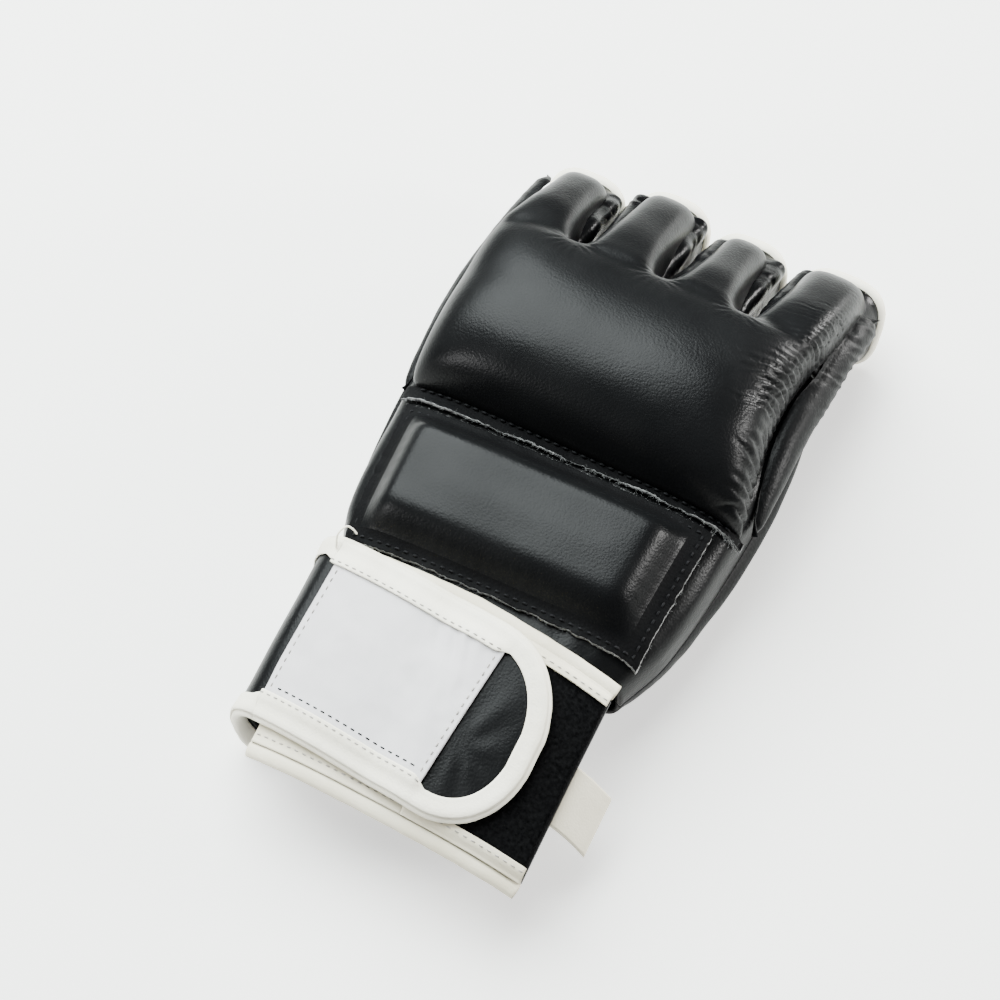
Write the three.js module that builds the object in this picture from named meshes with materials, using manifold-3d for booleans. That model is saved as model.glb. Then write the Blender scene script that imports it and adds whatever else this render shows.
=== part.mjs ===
// Open-palm kickboxing glove for the right hand, lying on its palm with the back of the hand up.
// Millimetres, +X towards the little finger, +Y towards the fingertips, +Z up.
// The pattern's own zero is the seam between the knuckle pad and the back pad; the group at the
// end is shifted so that the origin is the middle of the underside.

import * as THREE from "three";
import Module from "manifold-3d";

const wasm = await Module();
wasm.setup();

// Wall thicknesses and clearances
const SHELL_WALL = 2; // leather of the back and the palm
const SLEEVE_WALL = 1.6; // thin leather of the finger tubes
const LINING_WALL = 1;
const LINING_TRIM = 4; // columns of the shell's grid that the lining leaves free at each side
const STRAP_WALL = 2.4;
const FLAP_WALL = 2.2;
const PILE_WALL = 1.6;
const LABEL_WALL = 1;
const GAP = 0.3; // between two pieces that touch on the real glove
const CUT_DEPTH = 1.6; // how far a piece is sunk below the face that trims it
const HAND_CORE_LEVEL = 10; // underside of the hand's solid core that trims the pads

// Rolled edge bindings, half across and half thick
const FINGER_ROLL = { along: 2.4, thick: 2.2 };
const PALM_ROLL = { along: 2.8, thick: 2.2 };
const THUMB_ROLL = { along: 2.6, thick: 2.4 };
const EDGE_ROLL = { along: 1.6, thick: 1.5 };
const FLAP_ROLL = { along: 2.6, thick: 1.5 };
const STRAP_ROLL = { along: 2.9, thick: 1.7 };
const ROLL_SIDES = 6;

// Shell of the hand at stations along the hand: x of its two side seams, height of those seams,
// height of the back in the middle, height of the palm in the middle, fall of the palm from the
// index side to the little-finger side per millimetre, and how far the palm bulges past the seam
const HAND = [
  { y: -57, left: -48, right: 47, seamLeft: 22, seamRight: 21, crown: 41, belly: 4.5, fall: 0.04, bulge: 0.3 },
  { y: -40, left: -54, right: 54, seamLeft: 27, seamRight: 24, crown: 43, belly: 9, fall: 0.1, bulge: 1.5 },
  { y: -5, left: -56, right: 58.5, seamLeft: 31, seamRight: 26, crown: 46, belly: 16, fall: 0.12, bulge: 4 },
  { y: 30, left: -57, right: 59.5, seamLeft: 31, seamRight: 27, crown: 48, belly: 18.5, fall: 0.12, bulge: 4 },
  { y: 61, left: -56, right: 58, seamLeft: 32, seamRight: 29, crown: 47, belly: 18.5, fall: 0.08, bulge: 1.5 },
];
const BACK_POWER = 4;
const PALM_POWER = 2.7;
const BULGE_TOP = 0.8; // share of the way from the seam to the palm over which the palm bulges
const HAND_FRONT = 61;
const HAND_REAR = -57;
const HAND_ROWS = 9;
const HAND_COLUMNS = 24;
const ARC_STEPS = 60; // fineness of a cross-section before it is spaced evenly

// Palm opening, D-shaped: straight sides towards the thumb and the wrist, round towards the fingers
const PALM_OPENING = { left: -12, right: 45, rear: -27, straight: 12, front: 50, corner: 9 };
const PALM_CUT = { low: -10, depth: 60, segments: 12 };
const PALM_BINDING_POINTS = 7; // along each curve of the opening's outline

// Finger tubes: middle of the tube at the finger's root and tip, its half widths, height of its root,
// and how much further than the index finger's it reaches
const FINGERS = [
  { name: "index", rootX: -41.9, tipX: -42.8, rootHalf: 14, tipHalf: 13.2, rootZ: 34.5, reach: 0 },
  { name: "middle", rootX: -13.3, tipX: -13.5, rootHalf: 13.8, tipHalf: 12.9, rootZ: 33, reach: 4 },
  { name: "ring", rootX: 14.6, tipX: 15.6, rootHalf: 13.3, tipHalf: 12.9, rootZ: 32.5, reach: 0.5 },
  { name: "little", rootX: 43.2, tipX: 48, rootHalf: 14.5, tipHalf: 14.6, rootZ: 32, reach: 1.5 },
];
// Course of every finger tube from root (t 0) to tip (t 1): how far it rises over its middle line
// and falls below it
const FINGER_COURSE = [
  { t: 0, y: 61.6, drop: 0, tilt: 0, over: 14.5, under: 14 },
  { t: 0.33, y: 73.5, drop: 5, tilt: 16, over: 15.6, under: 13.2 },
  { t: 0.67, y: 85.5, drop: 12.5, tilt: 29, over: 16, under: 12.4 },
  { t: 1, y: 96.5, drop: 19.5, tilt: 33, over: 16, under: 12 },
];
const TIP_Z = 13.1; // middle of every finger opening above the floor
const SLEEVE_POWER = 3;
const SLEEVE_SIDES = 16;

// Knuckle pad: side edges, thickness over the middle of the back, and shape of its crown
const KNUCKLE = [
  { y: 0.3, left: -52.5, right: 58, thick: 1.6 },
  { y: 2, left: -54, right: 58.2, thick: 8 },
  { y: 5, left: -55, right: 57.6, thick: 14.5 },
  { y: 10, left: -55.5, right: 56.6, thick: 19.5 },
  { y: 18, left: -55.8, right: 55, thick: 23.5 },
  { y: 29, left: -55.8, right: 53.6, thick: 25 },
  { y: 40, left: -55.4, right: 52.8, thick: 24 },
  { y: 50, left: -54.8, right: 53, thick: 21 },
  { y: 57, left: -54.2, right: 53.6, thick: 18 },
  { y: 60.5, left: -53.6, right: 54, thick: 15.5 },
];
const KNUCKLE_POWER = 2.9;
const KNUCKLE_TOP_COLUMNS = 20;
const KNUCKLE_UNDER_COLUMNS = 6;

// Finger lobes of the knuckle pad, in the order of the fingers: middle and half width where they
// leave the pad and near their tips, and how much lower the pad is there than in its middle
const LOBES = [
  { rootX: -40.8, rootHalf: 12.9, rootDrop: 3, tipX: -41.5, tipHalf: 9.3 },
  { rootX: -12.4, rootHalf: 13.3, rootDrop: 0, tipX: -12.5, tipHalf: 10.1 },
  { rootX: 15.5, rootHalf: 12.6, rootDrop: 0, tipX: 15.9, tipHalf: 8.6 },
  { rootX: 42.1, rootHalf: 12.2, rootDrop: 3.4, tipX: 46.6, tipHalf: 11.8 },
];
// Course of every lobe: height of its crown, how much of it still has the root's shape (root 1 to 0),
// and share of the half width
const LOBE = [
  { y: 50, crown: 61, root: 1, share: 0.85 },
  { y: 60, crown: 64, root: 1, share: 1 },
  { y: 66, crown: 61.4, root: 0.62, share: 1 },
  { y: 74, crown: 57, root: 0.3, share: 1 },
  { y: 82, crown: 51.5, root: 0.1, share: 1 },
  { y: 90, crown: 46, root: 0, share: 1 },
  { y: 96, crown: 41.5, root: 0, share: 1 },
  { y: 100, crown: 37, root: 0, share: 0.95 },
];
const LOBE_ROOT = LOBE[1].y;
const LOBE_TIP = LOBE[LOBE.length - 1].y;
const LOBE_POWER = { root: 5, tip: 3.6 }; // how square its cross-section is
const LOBE_SINK = 4; // depth of a lobe below the middle of its finger tube
const LOBE_SIDES = 12;

// Back pad: outline of its stitched flange, and the bevelled bar on it
const BACK_PAD = { left: -51, right: 50.8, rear: -51.5, front: -4.4, taper: 0.05, skew: 0.02 };
const BACK_PAD_FLANGE = 1.7; // thickness
const BACK_PAD_HEIGHT = 8.5; // of the bar above its flange
// Flange left free at each side, and width of the bar's slope there
const BACK_PAD_SLOPES = {
  left: { margin: 2.5, bevel: 6 },
  right: { margin: 5.5, bevel: 9 },
  rear: { margin: 4, bevel: 11 },
  front: { margin: 2.5, bevel: 5 },
};
const BACK_PAD_COLUMNS = 18;
const BACK_PAD_ROWS = 12;
const BACK_PAD_SLOPE_STEPS = 4;

// Side strips, lens-shaped rolls along the sides: centre, half across and half thick
const ULNAR_STRIP = [
  { y: 6, x: 60, z: 33.5, across: 1.6, thick: 1.4 },
  { y: 16, x: 58.8, z: 36, across: 3.2, thick: 2.4 },
  { y: 30, x: 57.4, z: 38, across: 4.6, thick: 3.2 },
  { y: 46, x: 57, z: 38, across: 5, thick: 3.4 },
  { y: 60, x: 57.6, z: 36, across: 5, thick: 3.4 },
  { y: 76, x: 58.2, z: 33.5, across: 4.8, thick: 3.4 },
  { y: 90, x: 59.6, z: 28.5, across: 4.4, thick: 3.2 },
  { y: 98, x: 60.6, z: 24.5, across: 3.4, thick: 2.6 },
];
const INDEX_STRIP = [
  { y: 2, x: -56.6, z: 36, across: 1.6, thick: 1.4 },
  { y: 16, x: -57.4, z: 37.5, across: 3.2, thick: 2.2 },
  { y: 34, x: -57.8, z: 38.5, across: 4.2, thick: 2.8 },
  { y: 52, x: -57, z: 39, across: 4.6, thick: 3 },
  { y: 66, x: -56, z: 38, across: 4.6, thick: 3 },
  { y: 82, x: -55.2, z: 34.5, across: 4.4, thick: 3 },
  { y: 98, x: -54.4, z: 29.5, across: 3.6, thick: 2.8 },
];
const STRIP_LEAN = 52; // degrees that a strip's cross-section leans outwards
const STRIP_SIDES = 10;

// Thumb: plan outline and level of the flat panel under the index side of the palm
const THUMB = [
  { y: -50, middle: -36.5, half: 9.5, level: 5.2 },
  { y: -44, middle: -38.5, half: 13.5, level: 6.8 },
  { y: -30, middle: -40.5, half: 16, level: 9.6 },
  { y: -10, middle: -41.3, half: 16.5, level: 11 },
  { y: 12, middle: -42, half: 16.5, level: 11 },
  { y: 34, middle: -42.5, half: 15.5, level: 11 },
  { y: 48, middle: -42.5, half: 13.8, level: 11 },
  { y: 56, middle: -42.5, half: 10, level: 11 },
  { y: 59.5, middle: -42.5, half: 5.5, level: 11 },
];
const THUMB_WALL = 1.8;
const THUMB_INNER_RISE = 5.5; // the panel's inner edge rises to the palm that it is sewn to
const THUMB_RISE_START = 0.35; // where it starts to, from the middle (0) to the inner edge (1)
const THUMB_CLEAR = 0.9; // between the panel and the palm
const THUMB_COLUMNS = 10;
const THUMB_PAD = { margin: 4.2, shift: -1.2, rear: -43, front: 54.5, power: 2.6, sunk: 0.8 };
const THUMB_PAD_ROWS = 13;
const THUMB_PAD_SIDES = 9;
const THUMB_PAD_END = { power: 5, share: 0.4, swell: 1.15, clear: 2 }; // how the pad's ends round off
const THUMB_LID_COLUMNS = 4;
const THUMB_BAND = { rear: 32, front: 55, wall: 2, seat: 1.9, foot: 1.5, head: 2.5, bow: 6.5 };
const THUMB_BAND_ROWS = 3;
const THUMB_BAND_COLUMNS = 7;
const THUMB_EDGE = { rear: -46, front: 24 }; // reach of the panel's bound edge

// Wrist: height of the flap over the wrist, in the middle and at its sides
const WRIST = [
  { y: -125, crown: 29.5, drop: 7 },
  { y: -90, crown: 37.5, drop: 6.5 },
  { y: -57, crown: 42.8, drop: 6 },
];
const WRIST_HALF = 48; // from the middle to where the drop is reached
const WRIST_POWER = 3;
const FLAP = { left: -43, right: 46.5, front: -59, rear: -119, frontFall: 0.09, rearFall: 0.03 };
const FLAP_COLUMNS = 14;
const FLAP_ROWS = 5;
const PILE = { left: 8, right: 45.8, inset: 1.2 };
const STRAP = { front: -59.5, rear: -107.5, fall: 0.1, turn: -45, side: -54.5, tip: 30, root: 33 };
const STRAP_COLUMNS = { top: 15, tip: 6, side: 8, under: 8 };
const STRAP_ROWS = 5;
const STRAP_TIP = { round: 19, blunt: 1.2, power: 2.3 }; // where its edges round off, and how
const STRAP_CLIMB = { before: 16, length: 14 }; // where it climbs onto the pile
const STRAP_FOLD_POWER = 0.85; // how full the fold at the thumb side is
const LABEL = { leftRear: -45, leftFront: -43.5, rightRear: 9.5, rightFront: 14.5, inset: 0.6, columns: 12 };
const TAB = { root: 34, free: 43.5, tip: 57.5, rear: -102, front: -84, wall: 1.8, droop: 7, columns: 6 };

const BLACK_LEATHER = { color: 0x17181a, roughness: 0.42, metalness: 0 };
const WHITE_LEATHER = { color: 0xece8df, roughness: 0.55, metalness: 0 };
const BLACK_LINING = { color: 0x1c1d1f, roughness: 0.9, metalness: 0 };
const BLACK_PILE = { color: 0x0c0c0d, roughness: 0.95, metalness: 0 };
const GREY_FABRIC = { color: 0xd6d2d4, roughness: 0.7, metalness: 0 };

const rad = THREE.MathUtils.degToRad;
const clamp = THREE.MathUtils.clamp;
const mix = THREE.MathUtils.lerp;

function smooth(t) {
  return THREE.MathUtils.smoothstep(t, 0, 1);
}

// Every column of a table at a place between its rows, along smooth curves through the rows
function rowAt(table, key, at) {
  const place = clamp(at, table[0][key], table[table.length - 1][key]);
  let i = 0;
  while (i < table.length - 2 && place > table[i + 1][key]) i += 1;
  const near = [table[Math.max(i - 1, 0)], table[i], table[i + 1], table[Math.min(i + 2, table.length - 1)]];
  const span = near[2][key] - near[1][key];
  const t = (place - near[1][key]) / span;
  const slope = (a, b, column) => ((b[column] - a[column]) / (b[key] - a[key] || 1)) * span;
  const out = {};
  for (const column of Object.keys(table[0])) {
    const m1 = slope(near[0], near[2], column);
    const m2 = slope(near[1], near[3], column);
    const t2 = t * t;
    const t3 = t2 * t;
    out[column] =
      (2 * t3 - 3 * t2 + 1) * near[1][column] +
      (t3 - 2 * t2 + t) * m1 +
      (3 * t2 - 2 * t3) * near[2][column] +
      (t3 - t2) * m2;
  }
  out[key] = place;
  return out;
}

function steps(from, to, count) {
  return Array.from({ length: count + 1 }, (_, i) => mix(from, to, i / count));
}

// A line of points re-spaced evenly along its length
function evenly(line, count) {
  const lengths = [0];
  for (let i = 1; i < line.length; i += 1) lengths.push(lengths[i - 1] + line[i].distanceTo(line[i - 1]));
  const total = lengths[lengths.length - 1];
  let i = 1;
  return steps(0, total, count).map((want) => {
    while (i < line.length - 1 && lengths[i] < want) i += 1;
    const t = clamp((want - lengths[i - 1]) / (lengths[i] - lengths[i - 1]), 0, 1);
    return line[i - 1].clone().lerp(line[i], t);
  });
}

// A closed solid from points and triangles, turned to face outwards
function solid(points, faces) {
  let volume = 0;
  const cross = new THREE.Vector3();
  for (const [a, b, c] of faces) volume += cross.crossVectors(points[a], points[b]).dot(points[c]);
  const triVerts = new Uint32Array(faces.flatMap(([a, b, c]) => (volume < 0 ? [a, c, b] : [a, b, c])));
  const vertProperties = new Float32Array(points.flatMap((p) => [p.x, p.y, p.z]));
  return new wasm.Manifold(new wasm.Mesh({ numProp: 3, vertProperties, triVerts }));
}

// A solid from a three.js geometry
function solidOf(geometry) {
  const source = geometry.index ? geometry.toNonIndexed() : geometry;
  const position = source.getAttribute("position");
  const keys = new Map();
  const points = [];
  const corners = [];
  for (let i = 0; i < position.count; i += 1) {
    const p = new THREE.Vector3().fromBufferAttribute(position, i);
    const key = [p.x, p.y, p.z].map((v) => v.toFixed(4)).join();
    if (!keys.has(key)) keys.set(key, points.push(p) - 1);
    corners.push(keys.get(key));
  }
  const faces = [];
  for (let i = 0; i < corners.length; i += 3) {
    const face = corners.slice(i, i + 3);
    if (new Set(face).size === 3) faces.push(face);
  }
  return solid(points, faces);
}

function largest(body) {
  return body.decompose().sort((a, b) => b.volume() - a.volume())[0];
}

// The two triangles of a four-sided face
function quad(a, b, c, d) {
  return [
    [a, b, c],
    [a, c, d],
  ];
}

// Unit normals of a grid of points, from its neighbouring points; round grids close on themselves
function normalsOf(grid, round = false) {
  const rows = grid.length;
  const columns = grid[0].length;
  return grid.map((line, i) =>
    line.map((_, j) => {
      const before = round ? (j + columns - 1) % columns : Math.max(j - 1, 0);
      const after = round ? (j + 1) % columns : Math.min(j + 1, columns - 1);
      const across = line[after].clone().sub(line[before]);
      const along = grid[Math.min(i + 1, rows - 1)][j].clone().sub(grid[Math.max(i - 1, 0)][j]);
      return across.cross(along).normalize();
    }),
  );
}

function offsetGrid(grid, distance, round = false) {
  const normals = normalsOf(grid, round);
  return grid.map((line, i) => line.map((p, j) => p.clone().addScaledVector(normals[i][j], distance)));
}

// A wall between two grids of the same size
function wall(outer, inner, round = false) {
  const rows = outer.length;
  const columns = outer[0].length;
  const points = [...outer.flat(), ...inner.flat()];
  const at = (side, i, j) => side * rows * columns + i * columns + (j % columns);
  const faces = [];
  const last = round ? columns : columns - 1;
  for (let i = 0; i < rows - 1; i += 1) {
    for (let j = 0; j < last; j += 1) {
      faces.push(...quad(at(0, i, j), at(0, i, j + 1), at(0, i + 1, j + 1), at(0, i + 1, j)));
      faces.push(...quad(at(1, i, j), at(1, i + 1, j), at(1, i + 1, j + 1), at(1, i, j + 1)));
    }
  }
  for (let j = 0; j < last; j += 1) {
    faces.push(...quad(at(0, 0, j), at(1, 0, j), at(1, 0, j + 1), at(0, 0, j + 1)));
    faces.push(...quad(at(0, rows - 1, j), at(0, rows - 1, j + 1), at(1, rows - 1, j + 1), at(1, rows - 1, j)));
  }
  for (let i = 0; !round && i < rows - 1; i += 1) {
    faces.push(...quad(at(0, i, 0), at(0, i + 1, 0), at(1, i + 1, 0), at(1, i, 0)));
    faces.push(...quad(at(0, i, last), at(1, i, last), at(1, i + 1, last), at(0, i + 1, last)));
  }
  return solid(points, faces);
}

function thicken(grid, from, to, round = false) {
  return wall(offsetGrid(grid, to, round), offsetGrid(grid, from, round), round);
}

// A solid through rings of points, with flat ends, or closed on itself
function loft(rings, closed = false) {
  const sides = rings[0].length;
  const points = rings.flat();
  const faces = [];
  const spans = closed ? rings.length : rings.length - 1;
  for (let i = 0; i < spans; i += 1) {
    const next = (i + 1) % rings.length;
    for (let j = 0; j < sides; j += 1) {
      const k = (j + 1) % sides;
      faces.push(...quad(i * sides + j, i * sides + k, next * sides + k, next * sides + j));
    }
  }
  if (!closed) {
    const last = (rings.length - 1) * sides;
    const middles = [rings[0], rings[rings.length - 1]].map((ring) =>
      ring.reduce((sum, p) => sum.add(p), new THREE.Vector3()).divideScalar(sides),
    );
    const first = points.push(...middles) - 2;
    for (let j = 0; j < sides; j += 1) {
      const k = (j + 1) % sides;
      faces.push([first, k, j], [first + 1, last + j, last + k]);
    }
  }
  return solid(points, faces);
}

// A roll along a path: each place has a centre and the directions of its two half widths
function roll(path, size, closed = false) {
  const rings = path.map(({ centre, along, up }) =>
    steps(0, 2 * Math.PI, ROLL_SIDES)
      .slice(0, ROLL_SIDES)
      .map((angle) =>
        centre
          .clone()
          .addScaledVector(along, size.along * Math.cos(angle))
          .addScaledVector(up, size.thick * Math.sin(angle)),
      ),
  );
  return loft(rings, closed);
}

// Places for a roll that runs along the edge of a sheet, pushed out past the edge
function edgePath(edge, inside, size, closed = false) {
  return edge.map((point, i) => {
    const next = closed ? edge[(i + 1) % edge.length] : edge[Math.min(i + 1, edge.length - 1)];
    const last = closed ? edge[(i + edge.length - 1) % edge.length] : edge[Math.max(i - 1, 0)];
    const run = next.clone().sub(last).normalize();
    const inwards = inside[i].clone().sub(point);
    const along = inwards.addScaledVector(run, -inwards.dot(run)).normalize().negate();
    const up = run.clone().cross(along).normalize();
    const centre = point.clone().addScaledVector(along, size.along + GAP);
    return { centre, along, up };
  });
}

function superellipse(share, power) {
  return Math.pow(1 - Math.pow(Math.min(Math.abs(share), 1), power), 1 / power);
}

// Shell of the hand

function handAt(y) {
  const hand = rowAt(HAND, "y", y);
  hand.middle = (hand.left + hand.right) / 2;
  hand.half = (hand.right - hand.left) / 2;
  return hand;
}

// Height of the side seams' line at a place across the hand
function seamHeight(hand, x) {
  return mix(hand.seamLeft, hand.seamRight, clamp((x - hand.left) / (2 * hand.half), 0, 1));
}

function backHeight(x, y) {
  const hand = handAt(y);
  const seam = seamHeight(hand, x);
  return seam + (hand.crown - seam) * superellipse((x - hand.middle) / hand.half, BACK_POWER);
}

function backLine(y) {
  const hand = handAt(y);
  const line = steps(-90, 90, ARC_STEPS).map((degrees) => {
    const across = Math.sin(rad(degrees));
    const share = Math.sign(across) * Math.pow(Math.abs(across), 2 / BACK_POWER);
    const rise = Math.pow(Math.abs(Math.cos(rad(degrees))), 2 / BACK_POWER);
    const x = hand.middle + hand.half * share;
    const seam = seamHeight(hand, x);
    return new THREE.Vector3(x, y, seam + (hand.crown - seam) * rise);
  });
  return evenly(line, HAND_COLUMNS);
}

function palmLine(y) {
  const hand = handAt(y);
  const line = steps(-90, 90, ARC_STEPS).map((degrees) => {
    const across = Math.sin(rad(degrees));
    const share = Math.sign(across) * Math.pow(Math.abs(across), 2 / PALM_POWER);
    const sink = Math.pow(Math.abs(Math.cos(rad(degrees))), 2 / PALM_POWER);
    const swell = hand.bulge * Math.sin(Math.PI * Math.min(sink / BULGE_TOP, 1)) * Math.sign(share);
    const x = hand.middle + hand.half * share;
    const seam = seamHeight(hand, x) - GAP;
    const floor = hand.belly - hand.fall * (x - hand.middle);
    return new THREE.Vector3(x + swell, y, seam + (floor - seam) * sink);
  });
  return evenly(line, HAND_COLUMNS);
}

const handStations = steps(HAND_REAR, HAND_FRONT, HAND_ROWS);
const backGrid = handStations.map(backLine);
const palmGrid = handStations.map(palmLine);
const backUp = Math.sign(normalsOf(backGrid)[1][HAND_COLUMNS / 2].z);
const palmDown = -Math.sign(normalsOf(palmGrid)[1][HAND_COLUMNS / 2].z);

// A shell's face moved out by a distance; its edges stay level and its ends stay flat, or grow
function handFace(grid, distance, grow = 0) {
  const moved = offsetGrid(grid, distance);
  const lastRow = grid.length - 1;
  return moved.map((line, i) =>
    line.map((p, j) => {
      const end = i === 0 ? -grow : i === lastRow ? grow : 0;
      const edge = j === 0 || j === line.length - 1;
      return new THREE.Vector3(p.x, grid[i][j].y + end, edge ? grid[i][j].z : p.z);
    }),
  );
}

function backSheet(from, to) {
  const grow = Math.max(to, 0);
  return wall(handFace(backGrid, to * backUp, grow), handFace(backGrid, from * backUp, grow));
}

function palmSheet(from, to) {
  return wall(handFace(palmGrid, to * palmDown), handFace(palmGrid, from * palmDown));
}

// Outline of the palm opening, run round once, with its front end half an ellipse
function palmOpeningOutline(grow) {
  const { left, right, rear, straight, front, corner } = PALM_OPENING;
  const middle = (left + right) / 2;
  const half = (right - left) / 2 + grow;
  const shape = new THREE.Shape();
  shape.moveTo(middle - half, straight);
  shape.lineTo(middle - half, rear - grow + corner);
  shape.quadraticCurveTo(middle - half, rear - grow, middle - half + corner, rear - grow);
  shape.lineTo(middle + half - corner, rear - grow);
  shape.quadraticCurveTo(middle + half, rear - grow, middle + half, rear - grow + corner);
  shape.lineTo(middle + half, straight);
  shape.absellipse(middle, straight, half, front - straight + grow, 0, Math.PI, false);
  return shape;
}

function buildBackPanel() {
  return backSheet(-SHELL_WALL, 0);
}

function buildBackLining() {
  const trim = (grid) => grid.slice(0, -1).map((line) => line.slice(LINING_TRIM, -LINING_TRIM));
  const over = trim(offsetGrid(backGrid, -backUp * (SHELL_WALL + GAP)));
  return wall(over, trim(offsetGrid(backGrid, -backUp * (SHELL_WALL + GAP + LINING_WALL))));
}

function buildPalmPanel() {
  const { low, depth, segments } = PALM_CUT;
  const settings = { depth, bevelEnabled: false, curveSegments: segments };
  const prism = new THREE.ExtrudeGeometry(palmOpeningOutline(0), settings);
  prism.translate(0, 0, low);
  return palmSheet(-SHELL_WALL, 0).subtract(solidOf(prism));
}

// Height of the palm's outer face under a place
function palmHeight(x, y) {
  const hand = handAt(y);
  const share = (x - hand.middle) / (hand.half + hand.bulge);
  const seam = seamHeight(hand, x) - GAP;
  const floor = hand.belly - hand.fall * (x - hand.middle);
  return seam + (floor - seam) * superellipse(share, PALM_POWER);
}

function buildPalmOpeningBinding() {
  const line = palmOpeningOutline(-PALM_ROLL.along - GAP).getPoints(PALM_BINDING_POINTS).slice(0, -1);
  const up = new THREE.Vector3(0, 0, 1);
  const path = line.map((p, i) => {
    const next = line[(i + 1) % line.length];
    const last = line[(i + line.length - 1) % line.length];
    const run = new THREE.Vector3(next.x - last.x, next.y - last.y, 0).normalize();
    const along = run.clone().cross(up);
    const centre = new THREE.Vector3(p.x, p.y, palmHeight(p.x, p.y) + SHELL_WALL / 2);
    return { centre, along, up };
  });
  return roll(path, PALM_ROLL, true);
}

// Finger tubes

function fingerRing(finger, t, grow) {
  const course = rowAt(FINGER_COURSE, "t", t);
  const full = FINGER_COURSE[FINGER_COURSE.length - 1].drop;
  const x = mix(finger.rootX, finger.tipX, t);
  const z = finger.rootZ - (course.drop / full) * (finger.rootZ - TIP_Z);
  const half = mix(finger.rootHalf, finger.tipHalf, t) + grow;
  const tilt = rad(course.tilt);
  return steps(0, 360, SLEEVE_SIDES)
    .slice(0, SLEEVE_SIDES)
    .map((degrees) => {
      const c = Math.cos(rad(degrees));
      const s = Math.sin(rad(degrees));
      const across = half * Math.sign(c) * Math.pow(Math.abs(c), 2 / SLEEVE_POWER);
      const high = (s > 0 ? course.over : course.under) + grow;
      const up = high * Math.sign(s) * Math.pow(Math.abs(s), 2 / SLEEVE_POWER);
      const y = course.y + finger.reach * t + up * Math.sin(tilt);
      return new THREE.Vector3(x + across, y, z + up * Math.cos(tilt));
    });
}

const sleeveRings = (finger, grow) => FINGER_COURSE.map(({ t }) => fingerRing(finger, t, grow));

function buildSleeve(finger) {
  return wall(sleeveRings(finger, 0), sleeveRings(finger, -SLEEVE_WALL), true);
}

function buildFingerBinding(finger) {
  const rim = fingerRing(finger, 1, -SLEEVE_WALL / 2);
  const inside = fingerRing(finger, 0.67, -SLEEVE_WALL / 2);
  return roll(edgePath(rim, inside, FINGER_ROLL, true), FINGER_ROLL, true);
}

// Side strips

function stripSolid(table, side, grow) {
  const lean = rad(STRIP_LEAN) * side;
  const across = new THREE.Vector3(Math.cos(lean), 0, -Math.sin(lean));
  const up = new THREE.Vector3(Math.sin(lean), 0, Math.cos(lean));
  const rings = table.map((row) =>
    steps(0, 2 * Math.PI, STRIP_SIDES)
      .slice(0, STRIP_SIDES)
      .map((angle) =>
        new THREE.Vector3(row.x, row.y, row.z)
          .addScaledVector(across, (row.across + grow) * Math.cos(angle))
          .addScaledVector(up, (row.thick + grow) * Math.sin(angle)),
      ),
  );
  return loft(rings);
}

// What lies under the pads, with a clearance round it: the hand under the back panel, as far as the
// finger tubes, and the fingers in their tubes
function underPads(grow) {
  const over = handFace(backGrid, grow * backUp, FINGER_COURSE[0].y - HAND_FRONT + grow);
  const deep = (p) => p.clone().setZ(HAND_CORE_LEVEL);
  let under = loft(over.map((line) => [...line, deep(line[line.length - 1]), deep(line[0])]));
  for (const finger of FINGERS) under = under.add(loft(sleeveRings(finger, grow)));
  return under;
}

function buildStrip(table, side) {
  return largest(stripSolid(table, side, 0).subtract(underPads(GAP)));
}

// Knuckle pad

function knuckleRing(row) {
  const middle = (row.left + row.right) / 2;
  const half = (row.right - row.left) / 2;
  const top = backHeight(middle, row.y) + row.thick;
  const line = steps(-90, 90, ARC_STEPS).map((degrees) => {
    const across = Math.sin(rad(degrees));
    const share = Math.sign(across) * Math.pow(Math.abs(across), 2 / KNUCKLE_POWER);
    const rise = Math.pow(Math.abs(Math.cos(rad(degrees))), 2 / KNUCKLE_POWER);
    const x = middle + half * share;
    const base = backHeight(x, row.y) - CUT_DEPTH;
    return new THREE.Vector3(x, row.y, base + (top - base) * rise);
  });
  const over = evenly(line, KNUCKLE_TOP_COLUMNS);
  const under = steps(row.right, row.left, KNUCKLE_UNDER_COLUMNS)
    .slice(1, -1)
    .map((x) => new THREE.Vector3(x, row.y, backHeight(x, row.y) - CUT_DEPTH));
  return [...over, ...under];
}

function lobeRing(finger, lobe, row) {
  const half = mix(lobe.tipHalf, lobe.rootHalf, row.root) * row.share;
  const x = mix(lobe.tipX, lobe.rootX, row.root);
  const base = fingerMiddleHeight(finger, row.y);
  const crown = row.crown - lobe.rootDrop * row.root;
  const power = mix(LOBE_POWER.tip, LOBE_POWER.root, row.root);
  return steps(0, 360, LOBE_SIDES)
    .slice(0, LOBE_SIDES)
    .map((degrees) => {
      const c = Math.cos(rad(degrees));
      const s = Math.sin(rad(degrees));
      const across = half * Math.sign(c) * Math.pow(Math.abs(c), 2 / power);
      const high = s > 0 ? crown - base : LOBE_SINK;
      const up = high * Math.sign(s) * Math.pow(Math.abs(s), 2 / power);
      const stretch = finger.reach * clamp((row.y - LOBE_ROOT) / (LOBE_TIP - LOBE_ROOT), 0, 1);
      return new THREE.Vector3(x + across, row.y + stretch, base + up);
    });
}

function fingerMiddleHeight(finger, y) {
  const course = rowAt(FINGER_COURSE, "y", y);
  const full = FINGER_COURSE[FINGER_COURSE.length - 1].drop;
  return finger.rootZ - (course.drop / full) * (finger.rootZ - TIP_Z);
}

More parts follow.
